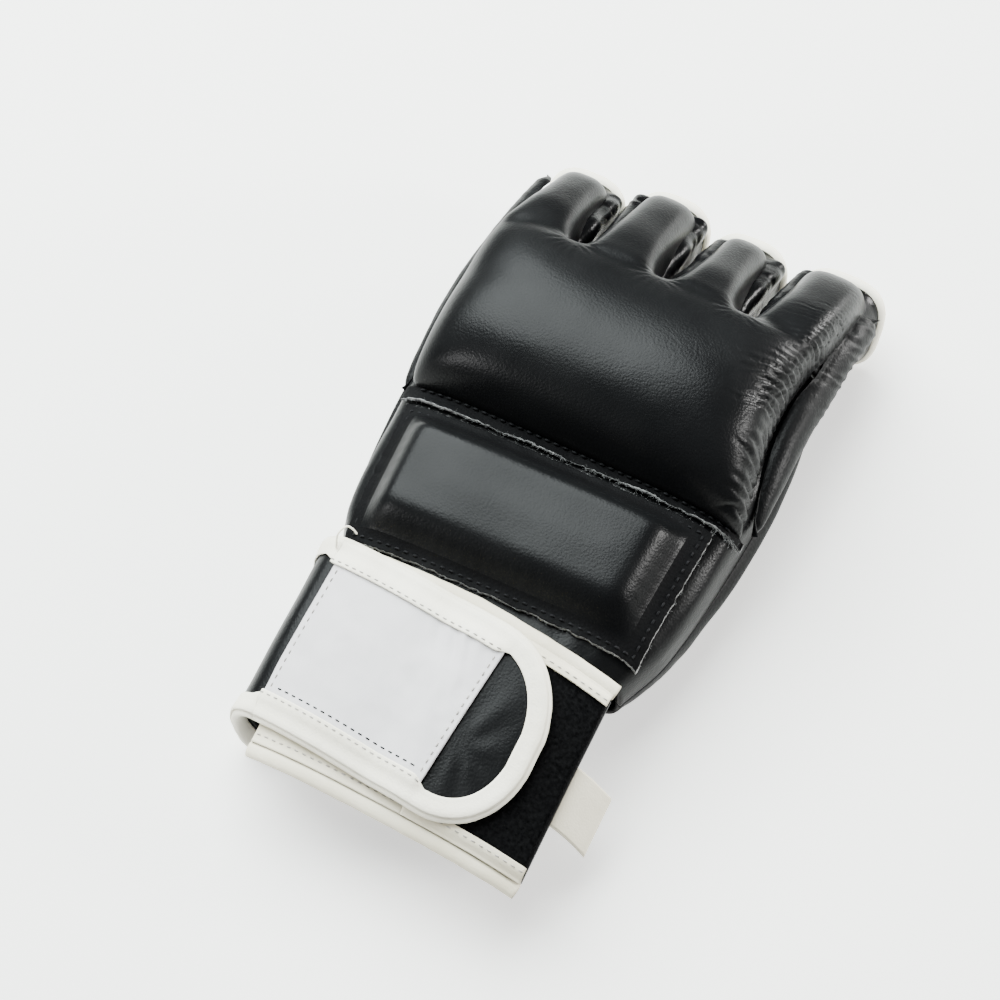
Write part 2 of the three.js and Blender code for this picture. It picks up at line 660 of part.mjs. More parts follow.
function buildKnucklePad() {
  let pad = loft(KNUCKLE.map(knuckleRing));
  FINGERS.forEach((finger, i) => {
    pad = pad.add(loft(LOBE.map((row) => lobeRing(finger, LOBES[i], row))));
  });
  pad = pad.subtract(underPads(GAP));
  pad = pad.subtract(stripSolid(ULNAR_STRIP, 1, GAP));
  pad = pad.subtract(stripSolid(INDEX_STRIP, -1, GAP));
  return largest(pad);
}

// Back pad

function backPadRise(x, y) {
  const { left, right, rear, front } = BACK_PAD;
  const inside = { left: x - left, right: right - x, rear: y - rear, front: front - y };
  let share = 1;
  for (const [side, { margin, bevel }] of Object.entries(BACK_PAD_SLOPES)) {
    share *= Math.pow(smooth((inside[side] - margin) / bevel), 0.8);
  }
  return BACK_PAD_FLANGE + BACK_PAD_HEIGHT * share;
}

// Places between two edges of the back pad that crowd where the bar's slopes rise
function slopeSteps(from, to, first, last, count) {
  const rim = ({ margin, bevel }) => [0, ...steps(margin, margin + bevel, BACK_PAD_SLOPE_STEPS).slice(0, -1)];
  const start = from + first.margin + first.bevel;
  const end = to - last.margin - last.bevel;
  const inner = steps(start, end, count - 2 * (BACK_PAD_SLOPE_STEPS + 1));
  return [...rim(first).map((d) => from + d), ...inner, ...rim(last).map((d) => to - d).reverse()];
}

function buildBackPad() {
  const { left, right, rear, front, taper, skew } = BACK_PAD;
  const ys = slopeSteps(rear, front, BACK_PAD_SLOPES.rear, BACK_PAD_SLOPES.front, BACK_PAD_ROWS);
  const xs = slopeSteps(left, right, BACK_PAD_SLOPES.left, BACK_PAD_SLOPES.right, BACK_PAD_COLUMNS);
  const place = (x, y, rise) => {
    const narrow = 1 - taper * ((front - y) / (front - rear));
    const at = new THREE.Vector2(x * narrow, y + skew * x);
    return new THREE.Vector3(at.x, at.y, backHeight(at.x, at.y) + rise);
  };
  const top = ys.map((y) => xs.map((x) => place(x, y, backPadRise(x, y) + GAP)));
  const under = ys.map((y) => xs.map((x) => place(x, y, -CUT_DEPTH)));
  return largest(wall(top, under).subtract(backSheet(-SHELL_WALL - CUT_DEPTH, GAP)));
}

// Thumb

function thumbHeight(share, level) {
  return level + THUMB_INNER_RISE * smooth((share - THUMB_RISE_START) / (1 - THUMB_RISE_START));
}

function thumbLine(y) {
  const row = rowAt(THUMB, "y", y);
  return steps(-1, 1, THUMB_COLUMNS).map((share) => {
    const x = row.middle + row.half * share;
    const ceiling = palmHeight(x, y) - THUMB_WALL - THUMB_CLEAR;
    return new THREE.Vector3(x, y, Math.min(thumbHeight(share, row.level), ceiling));
  });
}

function thumbSheet(from, to) {
  const lift = (height) => THUMB.map((row) => thumbLine(row.y).map((p) => p.clone().setZ(p.z + height)));
  return wall(lift(to), lift(from));
}

function buildThumbPanel() {
  return thumbSheet(0, THUMB_WALL);
}

function buildThumbPad() {
  const { margin, shift, rear, front, power, sunk } = THUMB_PAD;
  const centre = (rear + front) / 2;
  const reach = (front - rear) / 2 + 1;
  const rings = steps(rear, front, THUMB_PAD_ROWS).map((y) => {
    const row = rowAt(THUMB, "y", y);
    const end = superellipse((y - centre) / reach, THUMB_PAD_END.power);
    const half = (row.half - margin) * mix(THUMB_PAD_END.share, 1, end);
    const middle = row.middle + shift;
    const ceiling = (x) => thumbHeight((x - row.middle) / row.half, row.level) + sunk;
    const swell = clamp(end * THUMB_PAD_END.swell, 0, 1);
    const deep = ceiling(middle) - mix(row.level - THUMB_PAD_END.clear, 0, swell);
    const arc = steps(-90, 90, THUMB_PAD_SIDES).map((degrees) => {
      const across = Math.sin(rad(degrees));
      const share = Math.sign(across) * Math.pow(Math.abs(across), 2 / power);
      const sink = Math.pow(Math.abs(Math.cos(rad(degrees))), 2 / power);
      const x = middle + half * share;
      return new THREE.Vector3(x, y, mix(ceiling(x), ceiling(middle) - deep, sink));
    });
    const lid = steps(middle + half, middle - half, THUMB_LID_COLUMNS)
      .slice(1, -1)
      .map((x) => new THREE.Vector3(x, y, ceiling(x)));
    return [...arc, ...lid];
  });
  return largest(loft(rings).subtract(thumbSheet(-GAP, THUMB_WALL)));
}

// The band's course from the panel's outer edge up to the palm's index side
function bandLine(y) {
  const row = rowAt(THUMB, "y", y);
  const foot = row.middle - row.half + THUMB_BAND.foot;
  const low = new THREE.Vector3(foot, y, row.level + THUMB_WALL + THUMB_BAND.seat);
  const top = handAt(y).left + THUMB_BAND.head;
  const high = new THREE.Vector3(top, y, palmHeight(top, y) - THUMB_BAND.seat - THUMB_BAND.wall / 2);
  const out = new THREE.Vector3(Math.min(low.x, high.x) - THUMB_BAND.bow, y, (low.z + high.z) / 2);
  return new THREE.QuadraticBezierCurve3(low, out, high).getPoints(THUMB_BAND_COLUMNS);
}

const bandGrid = steps(THUMB_BAND.rear, THUMB_BAND.front, THUMB_BAND_ROWS).map(bandLine);

function buildThumbBand() {
  return thicken(bandGrid, -THUMB_BAND.wall / 2, THUMB_BAND.wall / 2);
}

function buildThumbBandBinding(row, inner) {
  return roll(edgePath(bandGrid[row], bandGrid[inner], THUMB_ROLL), THUMB_ROLL);
}

function buildThumbEdgeBinding() {
  const reach = THUMB.filter((row) => row.y > THUMB_EDGE.rear && row.y < THUMB_EDGE.front);
  const lines = reach.map((row) => thumbLine(row.y));
  const middle = (p) => p.clone().setZ(p.z + THUMB_WALL / 2);
  const edge = lines.map((line) => middle(line[0]));
  const inside = lines.map((line) => middle(line[1]));
  return roll(edgePath(edge, inside, EDGE_ROLL), EDGE_ROLL);
}

// Wrist

function wristHeight(x, y) {
  const row = rowAt(WRIST, "y", y);
  return row.crown - row.drop * Math.pow(Math.abs(x) / WRIST_HALF, WRIST_POWER);
}

// A sheet over the wrist: its lower face lies a height above the wrist's surface
function wristGrid(xs, front, rear, rows, lift) {
  return steps(0, 1, rows).map((v) =>
    xs.map((x) => {
      const y = mix(rear(x), front(x), v);
      return new THREE.Vector3(x, y, wristHeight(x, y) + lift);
    }),
  );
}

const flapFront = (x) => FLAP.front - FLAP.frontFall * Math.max(x, 0);
const flapRear = (x) => FLAP.rear - FLAP.rearFall * x;
const flapXs = steps(FLAP.left, FLAP.right, FLAP_COLUMNS);

function buildWristFlap() {
  const under = wristGrid(flapXs, flapFront, flapRear, FLAP_ROWS, 0);
  return wall(wristGrid(flapXs, flapFront, flapRear, FLAP_ROWS, FLAP_WALL), under);
}

function buildFlapBinding(row, inner) {
  const grid = wristGrid(flapXs, flapFront, flapRear, FLAP_ROWS, FLAP_WALL / 2);
  return roll(edgePath(grid[row], grid[inner], FLAP_ROLL), FLAP_ROLL);
}

function buildLoopPatch() {
  const xs = flapXs.filter((x) => x > PILE.left && x < PILE.right);
  xs.push(PILE.right);
  const front = (x) => flapFront(x) - PILE.inset;
  const rear = (x) => flapRear(x) + PILE.inset;
  const lift = FLAP_WALL + GAP;
  return wall(
    wristGrid(xs, front, rear, FLAP_ROWS, lift + PILE_WALL),
    wristGrid(xs, front, rear, FLAP_ROWS, lift),
  );
}

// Level of the strap's lower face over the flap: its edges ride on the flap's edges, and it climbs
// onto the pile near its tip
function strapLift(x) {
  const onFlap = FLAP_WALL / 2 + FLAP_ROLL.thick + GAP + STRAP_ROLL.thick - STRAP_WALL / 2;
  const onPile = FLAP_WALL + GAP + PILE_WALL + GAP + STRAP_ROLL.thick - STRAP_WALL / 2;
  return mix(onFlap, onPile + GAP, smooth((x - PILE.left + STRAP_CLIMB.before) / STRAP_CLIMB.length));
}

const strapShift = (x) => -STRAP.fall * Math.max(x - STRAP.turn, 0);

// Share of the strap's full half length across that is left near its rounded tip
function strapNarrowing(x) {
  const { round, blunt, power } = STRAP_TIP;
  return superellipse(Math.max(x - STRAP.tip + round, 0) / (round + blunt), power);
}

// The strap's inner face: over the wrist to the thumb side, round it, and back along the floor
function strapGrid(topXs) {
  const middle = (STRAP.front + STRAP.rear) / 2;
  const half = (STRAP.front - STRAP.rear) / 2;
  return steps(-1, 1, STRAP_ROWS).map((v) => {
    const over = topXs.map((x) => {
      const y = middle + half * v * strapNarrowing(x) + strapShift(x);
      return new THREE.Vector3(x, y, wristHeight(x, y) + strapLift(x));
    });
    const y = middle + half * v;
    const high = wristHeight(STRAP.turn, y) + strapLift(STRAP.turn);
    const side = steps(0, 180, STRAP_COLUMNS.side)
      .slice(1)
      .map((degrees) => {
        const c = Math.cos(rad(degrees));
        const out = Math.pow(Math.sin(rad(degrees)), STRAP_FOLD_POWER) * (STRAP.turn - STRAP.side - STRAP_WALL);
        return new THREE.Vector3(STRAP.turn - out, y, mix(STRAP_WALL, high, (1 + c) / 2));
      });
    const under = steps(STRAP.turn, STRAP.root, STRAP_COLUMNS.under)
      .slice(1)
      .map((x) => new THREE.Vector3(x, y, STRAP_WALL));
    return [...over, ...side, ...under];
  });
}

const strapTopXs = [
  ...steps(STRAP.tip, STRAP.tip - STRAP_TIP.round, STRAP_COLUMNS.tip).slice(0, -1),
  ...steps(STRAP.tip - STRAP_TIP.round, STRAP.turn, STRAP_COLUMNS.top - STRAP_COLUMNS.tip),
];
const strapInner = strapGrid(strapTopXs);
const strapSign = Math.sign(normalsOf(strapInner)[1][1].z);

function buildStrap() {
  const outer = offsetGrid(strapInner, strapSign * STRAP_WALL);
  for (const line of outer) for (const p of line) p.z = Math.max(p.z, 0);
  return wall(outer, strapInner);
}

function buildStrapBinding() {
  const middleFace = offsetGrid(strapInner, (strapSign * STRAP_WALL) / 2);
  const last = STRAP_ROWS;
  const reach = STRAP_COLUMNS.top + STRAP_COLUMNS.side - 1;
  const rearEdge = middleFace[0].slice(0, reach).reverse();
  const rearInside = middleFace[1].slice(0, reach).reverse();
  const tip = middleFace.slice(1, last).map((line) => line[0]);
  const tipInside = middleFace.slice(1, last).map((line) => line[1]);
  const frontEdge = middleFace[last].slice(0, reach);
  const frontInside = middleFace[last - 1].slice(0, reach);
  const edge = [...rearEdge, ...tip, ...frontEdge];
  const inside = [...rearInside, ...tipInside, ...frontInside];
  return roll(edgePath(edge, inside, STRAP_ROLL), STRAP_ROLL);
}

// A point on a line of a grid at a share of the way along it
function pointAlong(line, share) {
  const place = share * (line.length - 1);
  const i = Math.min(Math.floor(place), line.length - 2);
  return line[i].clone().lerp(line[i + 1], place - i);
}

// Place along the strap's top columns, as a share of its whole line, where it passes an x
function strapShareAt(x) {
  let j = 0;
  while (j < strapTopXs.length - 2 && strapTopXs[j + 1] > x) j += 1;
  return (j + (strapTopXs[j] - x) / (strapTopXs[j] - strapTopXs[j + 1])) / (strapInner[0].length - 1);
}

function buildLabelPanel() {
  const face = offsetGrid(strapInner, strapSign * (STRAP_WALL + GAP));
  const margin = LABEL.inset / (STRAP.front - STRAP.rear);
  const grid = steps(margin, 1 - margin, STRAP_ROWS).map((share) =>
    steps(
      strapShareAt(mix(LABEL.rightRear, LABEL.rightFront, share)),
      strapShareAt(mix(LABEL.leftRear, LABEL.leftFront, share)),
      LABEL.columns,
    ).map((place) =>
      pointAlong(
        face.map((line) => pointAlong(line, place)),
        share,
      ),
    ),
  );
  return thicken(grid, 0, strapSign * LABEL_WALL);
}

// The tab lies under the flap's free end and droops where it comes out
function buildPullTab() {
  const xs = steps(TAB.root, TAB.tip, TAB.columns);
  const sheet = (drop) =>
    [TAB.rear, TAB.front].map((y) =>
      xs.map((x) => {
        const free = Math.max(x - TAB.free, 0) / (TAB.tip - TAB.free);
        return new THREE.Vector3(x, y, wristHeight(x, y) - GAP - drop - TAB.droop * free * free);
      }),
    );
  return wall(sheet(0), sheet(TAB.wall));
}

// The glove

function meshOf(name, body, finish) {
  const { vertProperties, triVerts, numProp } = body.getMesh();
  const positions = new Float32Array((vertProperties.length / numProp) * 3);
  for (let i = 0; i < positions.length / 3; i += 1) {
    positions.set(vertProperties.subarray(i * numProp, i * numProp + 3), i * 3);
  }
  const geometry = new THREE.BufferGeometry();
  geometry.setAttribute("position", new THREE.BufferAttribute(positions, 3));
  geometry.setIndex(new THREE.BufferAttribute(new Uint32Array(triVerts), 1));
  geometry.computeVertexNormals();
  const mesh = new THREE.Mesh(geometry, new THREE.MeshStandardMaterial(finish));
  mesh.name = name;
  return mesh;
}

const pieces = [
  ["back_panel", buildBackPanel(), BLACK_LEATHER],
  ["back_lining", buildBackLining(), BLACK_LINING],
  ["palm_panel", buildPalmPanel(), BLACK_LEATHER],
  ["palm_opening_binding", buildPalmOpeningBinding(), WHITE_LEATHER],
  ...FINGERS.map((finger) => [`${finger.name}_sleeve`, buildSleeve(finger), BLACK_LEATHER]),
  ...FINGERS.map((finger) => [`${finger.name}_binding`, buildFingerBinding(finger), WHITE_LEATHER]),
  ["knuckle_pad", buildKnucklePad(), BLACK_LEATHER],
  ["ulnar_side_strip", buildStrip(ULNAR_STRIP, 1), BLACK_LEATHER],
  ["index_side_strip", buildStrip(INDEX_STRIP, -1), BLACK_LEATHER],
  ["back_pad", buildBackPad(), BLACK_LEATHER],
  ["thumb_panel", buildThumbPanel(), BLACK_LEATHER],
  ["thumb_pad", buildThumbPad(), BLACK_LEATHER],
  ["thumb_band", buildThumbBand(), BLACK_LEATHER],
  ["thumb_front_binding", buildThumbBandBinding(THUMB_BAND_ROWS, THUMB_BAND_ROWS - 1), WHITE_LEATHER],
  ["thumb_rear_binding", buildThumbBandBinding(0, 1), WHITE_LEATHER],
  ["thumb_edge_binding", buildThumbEdgeBinding(), WHITE_LEATHER],
  ["wrist_flap", buildWristFlap(), BLACK_LEATHER],
  ["flap_top_binding", buildFlapBinding(FLAP_ROWS, FLAP_ROWS - 1), WHITE_LEATHER],
  ["flap_bottom_binding", buildFlapBinding(0, 1), WHITE_LEATHER],
  ["loop_patch", buildLoopPatch(), BLACK_PILE],
  ["strap", buildStrap(), BLACK_LEATHER],
  ["strap_binding", buildStrapBinding(), WHITE_LEATHER],
  ["label_panel", buildLabelPanel(), GREY_FABRIC],
  ["pull_tab", buildPullTab(), WHITE_LEATHER],
];

const glove = new THREE.Group();
for (const [name, body, finish] of pieces) glove.add(meshOf(name, body, finish));

const extent = new THREE.Box3().setFromObject(glove);
const middle = extent.getCenter(new THREE.Vector3());
glove.position.set(-middle.x, -middle.y, -extent.min.z);

export default glove;
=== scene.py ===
# Dressed model of an open-palm kickboxing glove for the right hand, lying on its palm.
# Tables and surfaces are in millimetres in the pattern's own frame: +X towards the little finger,
# +Y towards the fingertips, +Z up. SHIFT takes them to the frame of the CAD nodes.

import math

import bmesh
import bpy
import numpy as np
from mathutils import Matrix, Vector, noise
from mathutils.bvhtree import BVHTree


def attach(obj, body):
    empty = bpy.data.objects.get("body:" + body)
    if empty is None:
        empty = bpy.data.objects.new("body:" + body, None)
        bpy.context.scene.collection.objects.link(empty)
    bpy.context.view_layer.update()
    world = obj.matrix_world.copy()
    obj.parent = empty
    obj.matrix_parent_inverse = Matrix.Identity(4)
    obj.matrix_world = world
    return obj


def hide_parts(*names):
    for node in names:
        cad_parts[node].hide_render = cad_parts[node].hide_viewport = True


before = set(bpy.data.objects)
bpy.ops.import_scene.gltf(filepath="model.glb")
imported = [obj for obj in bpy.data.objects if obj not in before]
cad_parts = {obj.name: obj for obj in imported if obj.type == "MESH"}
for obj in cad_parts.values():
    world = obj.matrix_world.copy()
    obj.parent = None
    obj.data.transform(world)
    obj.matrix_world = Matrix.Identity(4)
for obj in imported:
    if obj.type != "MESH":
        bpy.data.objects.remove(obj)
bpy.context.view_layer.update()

SHIFT = np.array([-1.081, 6.278, 0.029])
MM = 0.001

# Thicknesses of the sheets, and the gap that is left between neighbours
SHELL_WALL = 2.0
SLEEVE_WALL = 1.6
LINING_WALL = 1.0
STRAP_WALL = 2.4
FLAP_WALL = 2.2
PILE_WALL = 1.6
LABEL_WALL = 1.0
THUMB_WALL = 1.8
GAP = 0.3
HAND_CORE_LEVEL = 10.0

# Half across and half thick of the rolled edge bindings
FINGER_ROLL = (2.4, 2.2)
PALM_ROLL = (2.8, 2.2)
THUMB_ROLL = (2.6, 2.4)
EDGE_ROLL = (1.6, 1.5)
FLAP_ROLL = (2.6, 1.5)
STRAP_ROLL = (2.9, 1.7)


def table(columns, *rows):
    values = np.array(rows, dtype=float)
    return {name: values[:, i] for i, name in enumerate(columns.split())}


# The hand's cross sections along y: its sides, side seams, top and underside
HAND = table(
    "y left right seam_left seam_right crown belly fall bulge",
    (-57, -48, 47, 22, 21, 41, 4.5, 0.04, 0.3),
    (-40, -54, 54, 27, 24, 43, 9, 0.1, 1.5),
    (-5, -56, 58.5, 31, 26, 46, 16, 0.12, 4),
    (30, -57, 59.5, 31, 27, 48, 18.5, 0.12, 4),
    (61, -56, 58, 32, 29, 47, 18.5, 0.08, 1.5),
)
BACK_POWER = 4.0
PALM_POWER = 2.7
HAND_REAR, HAND_FRONT = -57.0, 61.0

# The D-shaped palm opening: straight is where its round front begins
PALM_OPENING = {"left": -12, "right": 45, "rear": -27, "straight": 12, "front": 50, "corner": 9}

# The finger tubes at root and tip, then the course that all four follow to the front
FINGERS = table(
    "root_x tip_x root_half tip_half root_z reach",
    (-41.9, -42.8, 14, 13.2, 34.5, 0),
    (-13.3, -13.5, 13.8, 12.9, 33, 4),
    (14.6, 15.6, 13.3, 12.9, 32.5, 0.5),
    (43.2, 48, 14.5, 14.6, 32, 1.5),
)
FINGER_NAMES = ("index", "middle", "ring", "little")
COURSE = table(
    "t y drop tilt over under",
    (0, 61.6, 0, 0, 14.5, 14),
    (0.33, 73.5, 5, 16, 15.6, 13.2),
    (0.67, 85.5, 12.5, 29, 16, 12.4),
    (1, 96.5, 19.5, 33, 16, 12),
)
TIP_Z = 13.1
SLEEVE_POWER = 3.0

# The knuckle pad's body, then its four lobes and how they fall to the front
KNUCKLE = table(
    "y left right thick",
    (0.3, -52.5, 58, 1.6),
    (2, -54, 58.2, 8),
    (5, -55, 57.6, 14.5),
    (10, -55.5, 56.6, 19.5),
    (18, -55.8, 55, 23.5),
    (29, -55.8, 53.6, 25),
    (40, -55.4, 52.8, 24),
    (50, -54.8, 53, 21),
    (57, -54.2, 53.6, 18),
    (60.5, -53.6, 54, 15.5),
)
KNUCKLE_POWER = 2.9
KNUCKLE_FRONT_POWER = 4.6

LOBES = table(
    "root_x root_half root_drop tip_x tip_half",
    (-40.8, 12.9, 3, -41.5, 9.3),
    (-12.4, 13.3, 0, -12.5, 10.1),
    (15.5, 12.6, 0, 15.9, 8.6),
    (42.1, 12.2, 3.4, 46.6, 11.8),
)
LOBE = table(
    "y crown root share",
    (50, 61, 1, 0.85),
    (60, 64, 1, 1),
    (66, 61.4, 0.62, 1),
    (74, 57, 0.3, 1),
    (82, 51.5, 0.1, 1),
    (90, 46, 0, 1),
    (96, 41.5, 0, 1),
    (100, 37, 0, 0.95),
)
LOBE_ROOT_POWER, LOBE_TIP_POWER = 5.0, 3.6
LOBE_SINK = 4.0

# The bar-shaped back pad: outline of its flange, then margin and width of each slope
BACK_PAD = {"left": -51, "right": 50.8, "rear": -51.5, "front": -4.4, "taper": 0.05, "skew": 0.02}
BACK_PAD_FLANGE = 1.7
BACK_PAD_HEIGHT = 8.5
PAD_ROUNDING = 2.0
BACK_PAD_SLOPES = table(
    "margin bevel",
    (3.6, 7),
    (6, 10),
    (4.5, 9.5),
    (3.6, 5.5),
)

# The soft rolls along both sides of the knuckle pad
ULNAR_STRIP = table(
    "y x z across thick",
    (6, 60, 33.5, 1.6, 1.4),
    (16, 58.8, 36, 3.2, 2.4),
    (30, 57.4, 38, 4.6, 3.2),
    (46, 57, 38, 5, 3.4),
    (60, 57.6, 36, 5, 3.4),
    (76, 58.2, 33.5, 4.8, 3.4),
    (90, 59.6, 28.5, 4.4, 3.2),
    (98, 60.6, 24.5, 3.4, 2.6),
)
INDEX_STRIP = table(
    "y x z across thick",
    (2, -56.6, 36, 1.6, 1.4),
    (16, -57.4, 37.5, 3.2, 2.2),
    (34, -57.8, 38.5, 4.2, 2.8),
    (52, -57, 39, 4.6, 3),
    (66, -56, 38, 4.6, 3),
    (82, -55.2, 34.5, 4.4, 3),
    (98, -54.4, 29.5, 3.6, 2.8),
)
STRIP_LEAN = 52.0

# The thumb panel, its pad and the band that closes the thumb loop
THUMB = table(
    "y middle half level",
    (-50, -36.5, 9.5, 5.2),
    (-44, -38.5, 13.5, 6.8),
    (-30, -40.5, 16, 9.6),
    (-10, -41.3, 16.5, 11),
    (12, -42, 16.5, 11),
    (34, -42.5, 15.5, 11),
    (48, -42.5, 13.8, 11),
    (56, -42.5, 10, 11),
    (59.5, -42.5, 5.5, 11),
)
THUMB_INNER_RISE = 5.5
THUMB_PAD = {"margin": 4.2, "rear": -43, "front": 54.5, "power": 2.6, "sunk": 0.8}
THUMB_BAND = {"rear": 32, "front": 55, "wall": 2, "seat": 1.9}

# The wrist, and what lies on it
WRIST = table("y crown drop", (-125, 29.5, 7), (-90, 37.5, 6.5), (-57, 42.8, 6))
WRIST_HALF, WRIST_POWER = 48.0, 3.0
FLAP = {"left": -43, "right": 46.5, "front": -59, "rear": -119, "front_fall": 0.09, "rear_fall": 0.03}
PILE = {"left": 8, "right": 45.8, "inset": 1.2}
STRAP = {"front": -59.5, "rear": -107.5, "fall": 0.1, "turn": -45, "side": -54.5, "tip": 30, "root": 33}
STRAP_TIP_ROUND = 19.0
LABEL = {"left_rear": -45, "left_front": -43.5, "right_rear": 9.5, "right_front": 14.5, "inset": 0.6}
TAB = {"root": 34, "free": 43.5, "tip": 57.5, "rear": -102, "front": -84, "wall": 1.8, "droop": 7}


# Numbers and curves


def smooth(t):
    t = np.clip(t, 0, 1)
    return t * t * (3 - 2 * t)


def mix(a, b, t):
    return a + (b - a) * t


def bump(x, centre, width):
    return np.exp(-(((x - centre) / width) ** 2))


def row_at(rows, key, at):
    """Every column of a table at places between its rows, along smooth curves through them."""
    keys = rows[key]
    at = np.clip(np.asarray(at, dtype=float), keys[0], keys[-1])
    i = np.clip(np.searchsorted(keys, at, side="right") - 1, 0, len(keys) - 2)
    before = np.maximum(i - 1, 0)
    after = np.minimum(i + 2, len(keys) - 1)
    span = keys[i + 1] - keys[i]
    t = (at - keys[i]) / span
    out = {}
    for name, values in rows.items():
        m1 = (values[i + 1] - values[before]) / (keys[i + 1] - keys[before]) * span
        m2 = (values[after] - values[i]) / (keys[after] - keys[i]) * span
        out[name] = (
            (2 * t**3 - 3 * t**2 + 1) * values[i]
            + (t**3 - 2 * t**2 + t) * m1
            + (3 * t**2 - 2 * t**3) * values[i + 1]
            + (t**3 - t**2) * m2
        )
    out[key] = at
    return out


def lengths_along(line):
    return np.concatenate([[0], np.cumsum(np.linalg.norm(np.diff(line, axis=0), axis=1))])


def points_at(where, places, line):
    """Points where they are asked for on a line whose own points lie at places."""
    return np.stack([np.interp(where, places, line[:, k]) for k in range(3)], 1)


def evenly(line, count):
    """A line of points re-spaced evenly along its length, with count points."""
    lengths = lengths_along(line)
    return points_at(np.linspace(0, lengths[-1], count), lengths, line)


def superellipse(share, power):
    share = np.minimum(np.abs(share), 1)
    return (1 - share**power) ** (1 / power)


def power_arc(degrees, power):
    """Share across and share up of a superellipse at angles measured from its top."""
    across = np.sin(np.radians(degrees))
    up = np.cos(np.radians(degrees))
    return (
        np.sign(across) * np.abs(across) ** (2 / power),
        np.sign(up) * np.abs(up) ** (2 / power),
    )


def noise_at(points, scale, seed=0.0):
    """Smooth noise from -1 to 1 at points in millimetres, one bump in about 1/scale of them."""
    flat = np.asarray(points, dtype=float).reshape(-1, 3)
    scale = np.broadcast_to(np.asarray(scale, dtype=float), (3,))
    values = [noise.noise(Vector((p * scale + seed).tolist())) for p in flat]
    return np.array(values).reshape(np.asarray(points).shape[:-1])


# Meshes


def unit(vectors):
    length = np.linalg.norm(vectors, axis=-1, keepdims=True)
    return vectors / np.maximum(length, 1e-9)


def grid_normals(grid, wrap=False):
    """Unit normals of a grid of points: columns along the second axis, closed on itself or not."""
    if wrap:
        across = np.roll(grid, -1, axis=1) - np.roll(grid, 1, axis=1)
    else:
        across = np.gradient(grid, axis=1)
    along = np.gradient(grid, axis=0)
    return unit(np.cross(across, along))


def turned(normals, at, towards=1):
    """Normals, all turned round if the one at a place doesn't face up, or down where towards is -1."""
    return normals if normals[at][2] * towards > 0 else -normals


def grid_faces(rows, columns, wrap, start=0, flip=False):
    last = columns if wrap else columns - 1
    i, j = np.meshgrid(np.arange(rows - 1), np.arange(last), indexing="ij")
    k = (j + 1) % columns
    faces = np.stack([i * columns + j, i * columns + k, (i + 1) * columns + k, (i + 1) * columns + j], -1)
    faces = faces.reshape(-1, 4) + start
    return (faces[:, ::-1] if flip else faces).tolist()


def make(name, points, faces, material, recalc=True):
    """A mesh object from points in pattern millimetres."""
    mesh = bpy.data.meshes.new(name)
    placed = (np.asarray(points, dtype=float).reshape(-1, 3) + SHIFT) * MM
    mesh.from_pydata(placed.tolist(), [], faces)
    mesh.validate()
    if recalc:
        turn_outwards(mesh)
    mesh.polygons.foreach_set("use_smooth", [True] * len(mesh.polygons))
    mesh.materials.append(material)
    piece = bpy.data.objects.new(name, mesh)
    bpy.context.scene.collection.objects.link(piece)
    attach(piece, "root")
    return piece


def stands_for(piece, node):
    """Hides the CAD node that a piece replaces, and hands the piece back."""
    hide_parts(node)
    return piece


def turn_outwards(mesh):
    work = bmesh.new()
    work.from_mesh(mesh)
    bmesh.ops.recalc_face_normals(work, faces=work.faces)
    work.to_mesh(mesh)
    work.free()


def wall_mesh(outer, inner, wrap=False):
    """Points and faces of a closed wall between two grids of the same size."""
    rows, columns = outer.shape[:2]
    points = np.concatenate([outer.reshape(-1, 3), inner.reshape(-1, 3)])
    n = rows * columns
    faces = grid_faces(rows, columns, wrap) + grid_faces(rows, columns, wrap, n, flip=True)
    last = columns if wrap else columns - 1
    for j in range(last):
        k = (j + 1) % columns
        end = (rows - 1) * columns
        faces.append([j, n + j, n + k, k])
        faces.append([end + j, end + k, n + end + k, n + end + j])
    if not wrap:
        for i in range(rows - 1):
            a, b = i * columns, (i + 1) * columns
            faces.append([a, b, n + b, n + a])
            faces.append([a + columns - 1, n + a + columns - 1, n + b + columns - 1, b + columns - 1])
    return points, faces


def loft_mesh(rings, closed=False):
    """Points and faces of a solid through rings of points, with capped ends or closed on itself."""
    rows, sides = rings.shape[:2]
    points = rings.reshape(-1, 3)
    if closed:
        faces = grid_faces(rows, sides, True)
        last = (rows - 1) * sides
        for j in range(sides):
            k = (j + 1) % sides
            faces.append([last + j, last + k, k, j])
        return points, faces
    points = np.concatenate([points, [rings[0].mean(axis=0), rings[-1].mean(axis=0)]])
    faces = grid_faces(rows, sides, True)
    last = (rows - 1) * sides
    n = rows * sides
    for j in range(sides):
        k = (j + 1) % sides
        faces.append([n, k, j])
        faces.append([n + 1, last + j, last + k])
    return points, faces


def joined(shapes):
    """Points and faces of several shapes as those of one mesh."""
    points, faces = [], []
    start = 0
    for shape_points, shape_faces in shapes:
        points.append(shape_points)
        faces += [[v + start for v in face] for face in shape_faces]
        start += len(shape_points)
    return np.concatenate(points), faces


def roll_rings(frames, size, sides, swell=1.0):
    """Rings of a soft roll; swell is a factor for its half widths at each ring."""
    centres, along, up = frames
    angle = np.linspace(0, 2 * np.pi, sides, endpoint=False)
    wide = size[0] * np.cos(angle)[None, :] * swell
    thick = size[1] * np.sin(angle)[None, :] * swell
    return centres[:, None] + along[:, None] * wide[..., None] + up[:, None] * thick[..., None]


def edge_roll(name, node, frames, size, sides, material, even, uneven, scale, seed, closed=False):
    """A rolled white edge, a little uneven along its length."""
    swell = even + uneven * noise_at(frames[0], scale, seed)[:, None]
    points, faces = loft_mesh(roll_rings(frames, size, sides, swell), closed)
    return stands_for(make(name, points, faces, material), node)


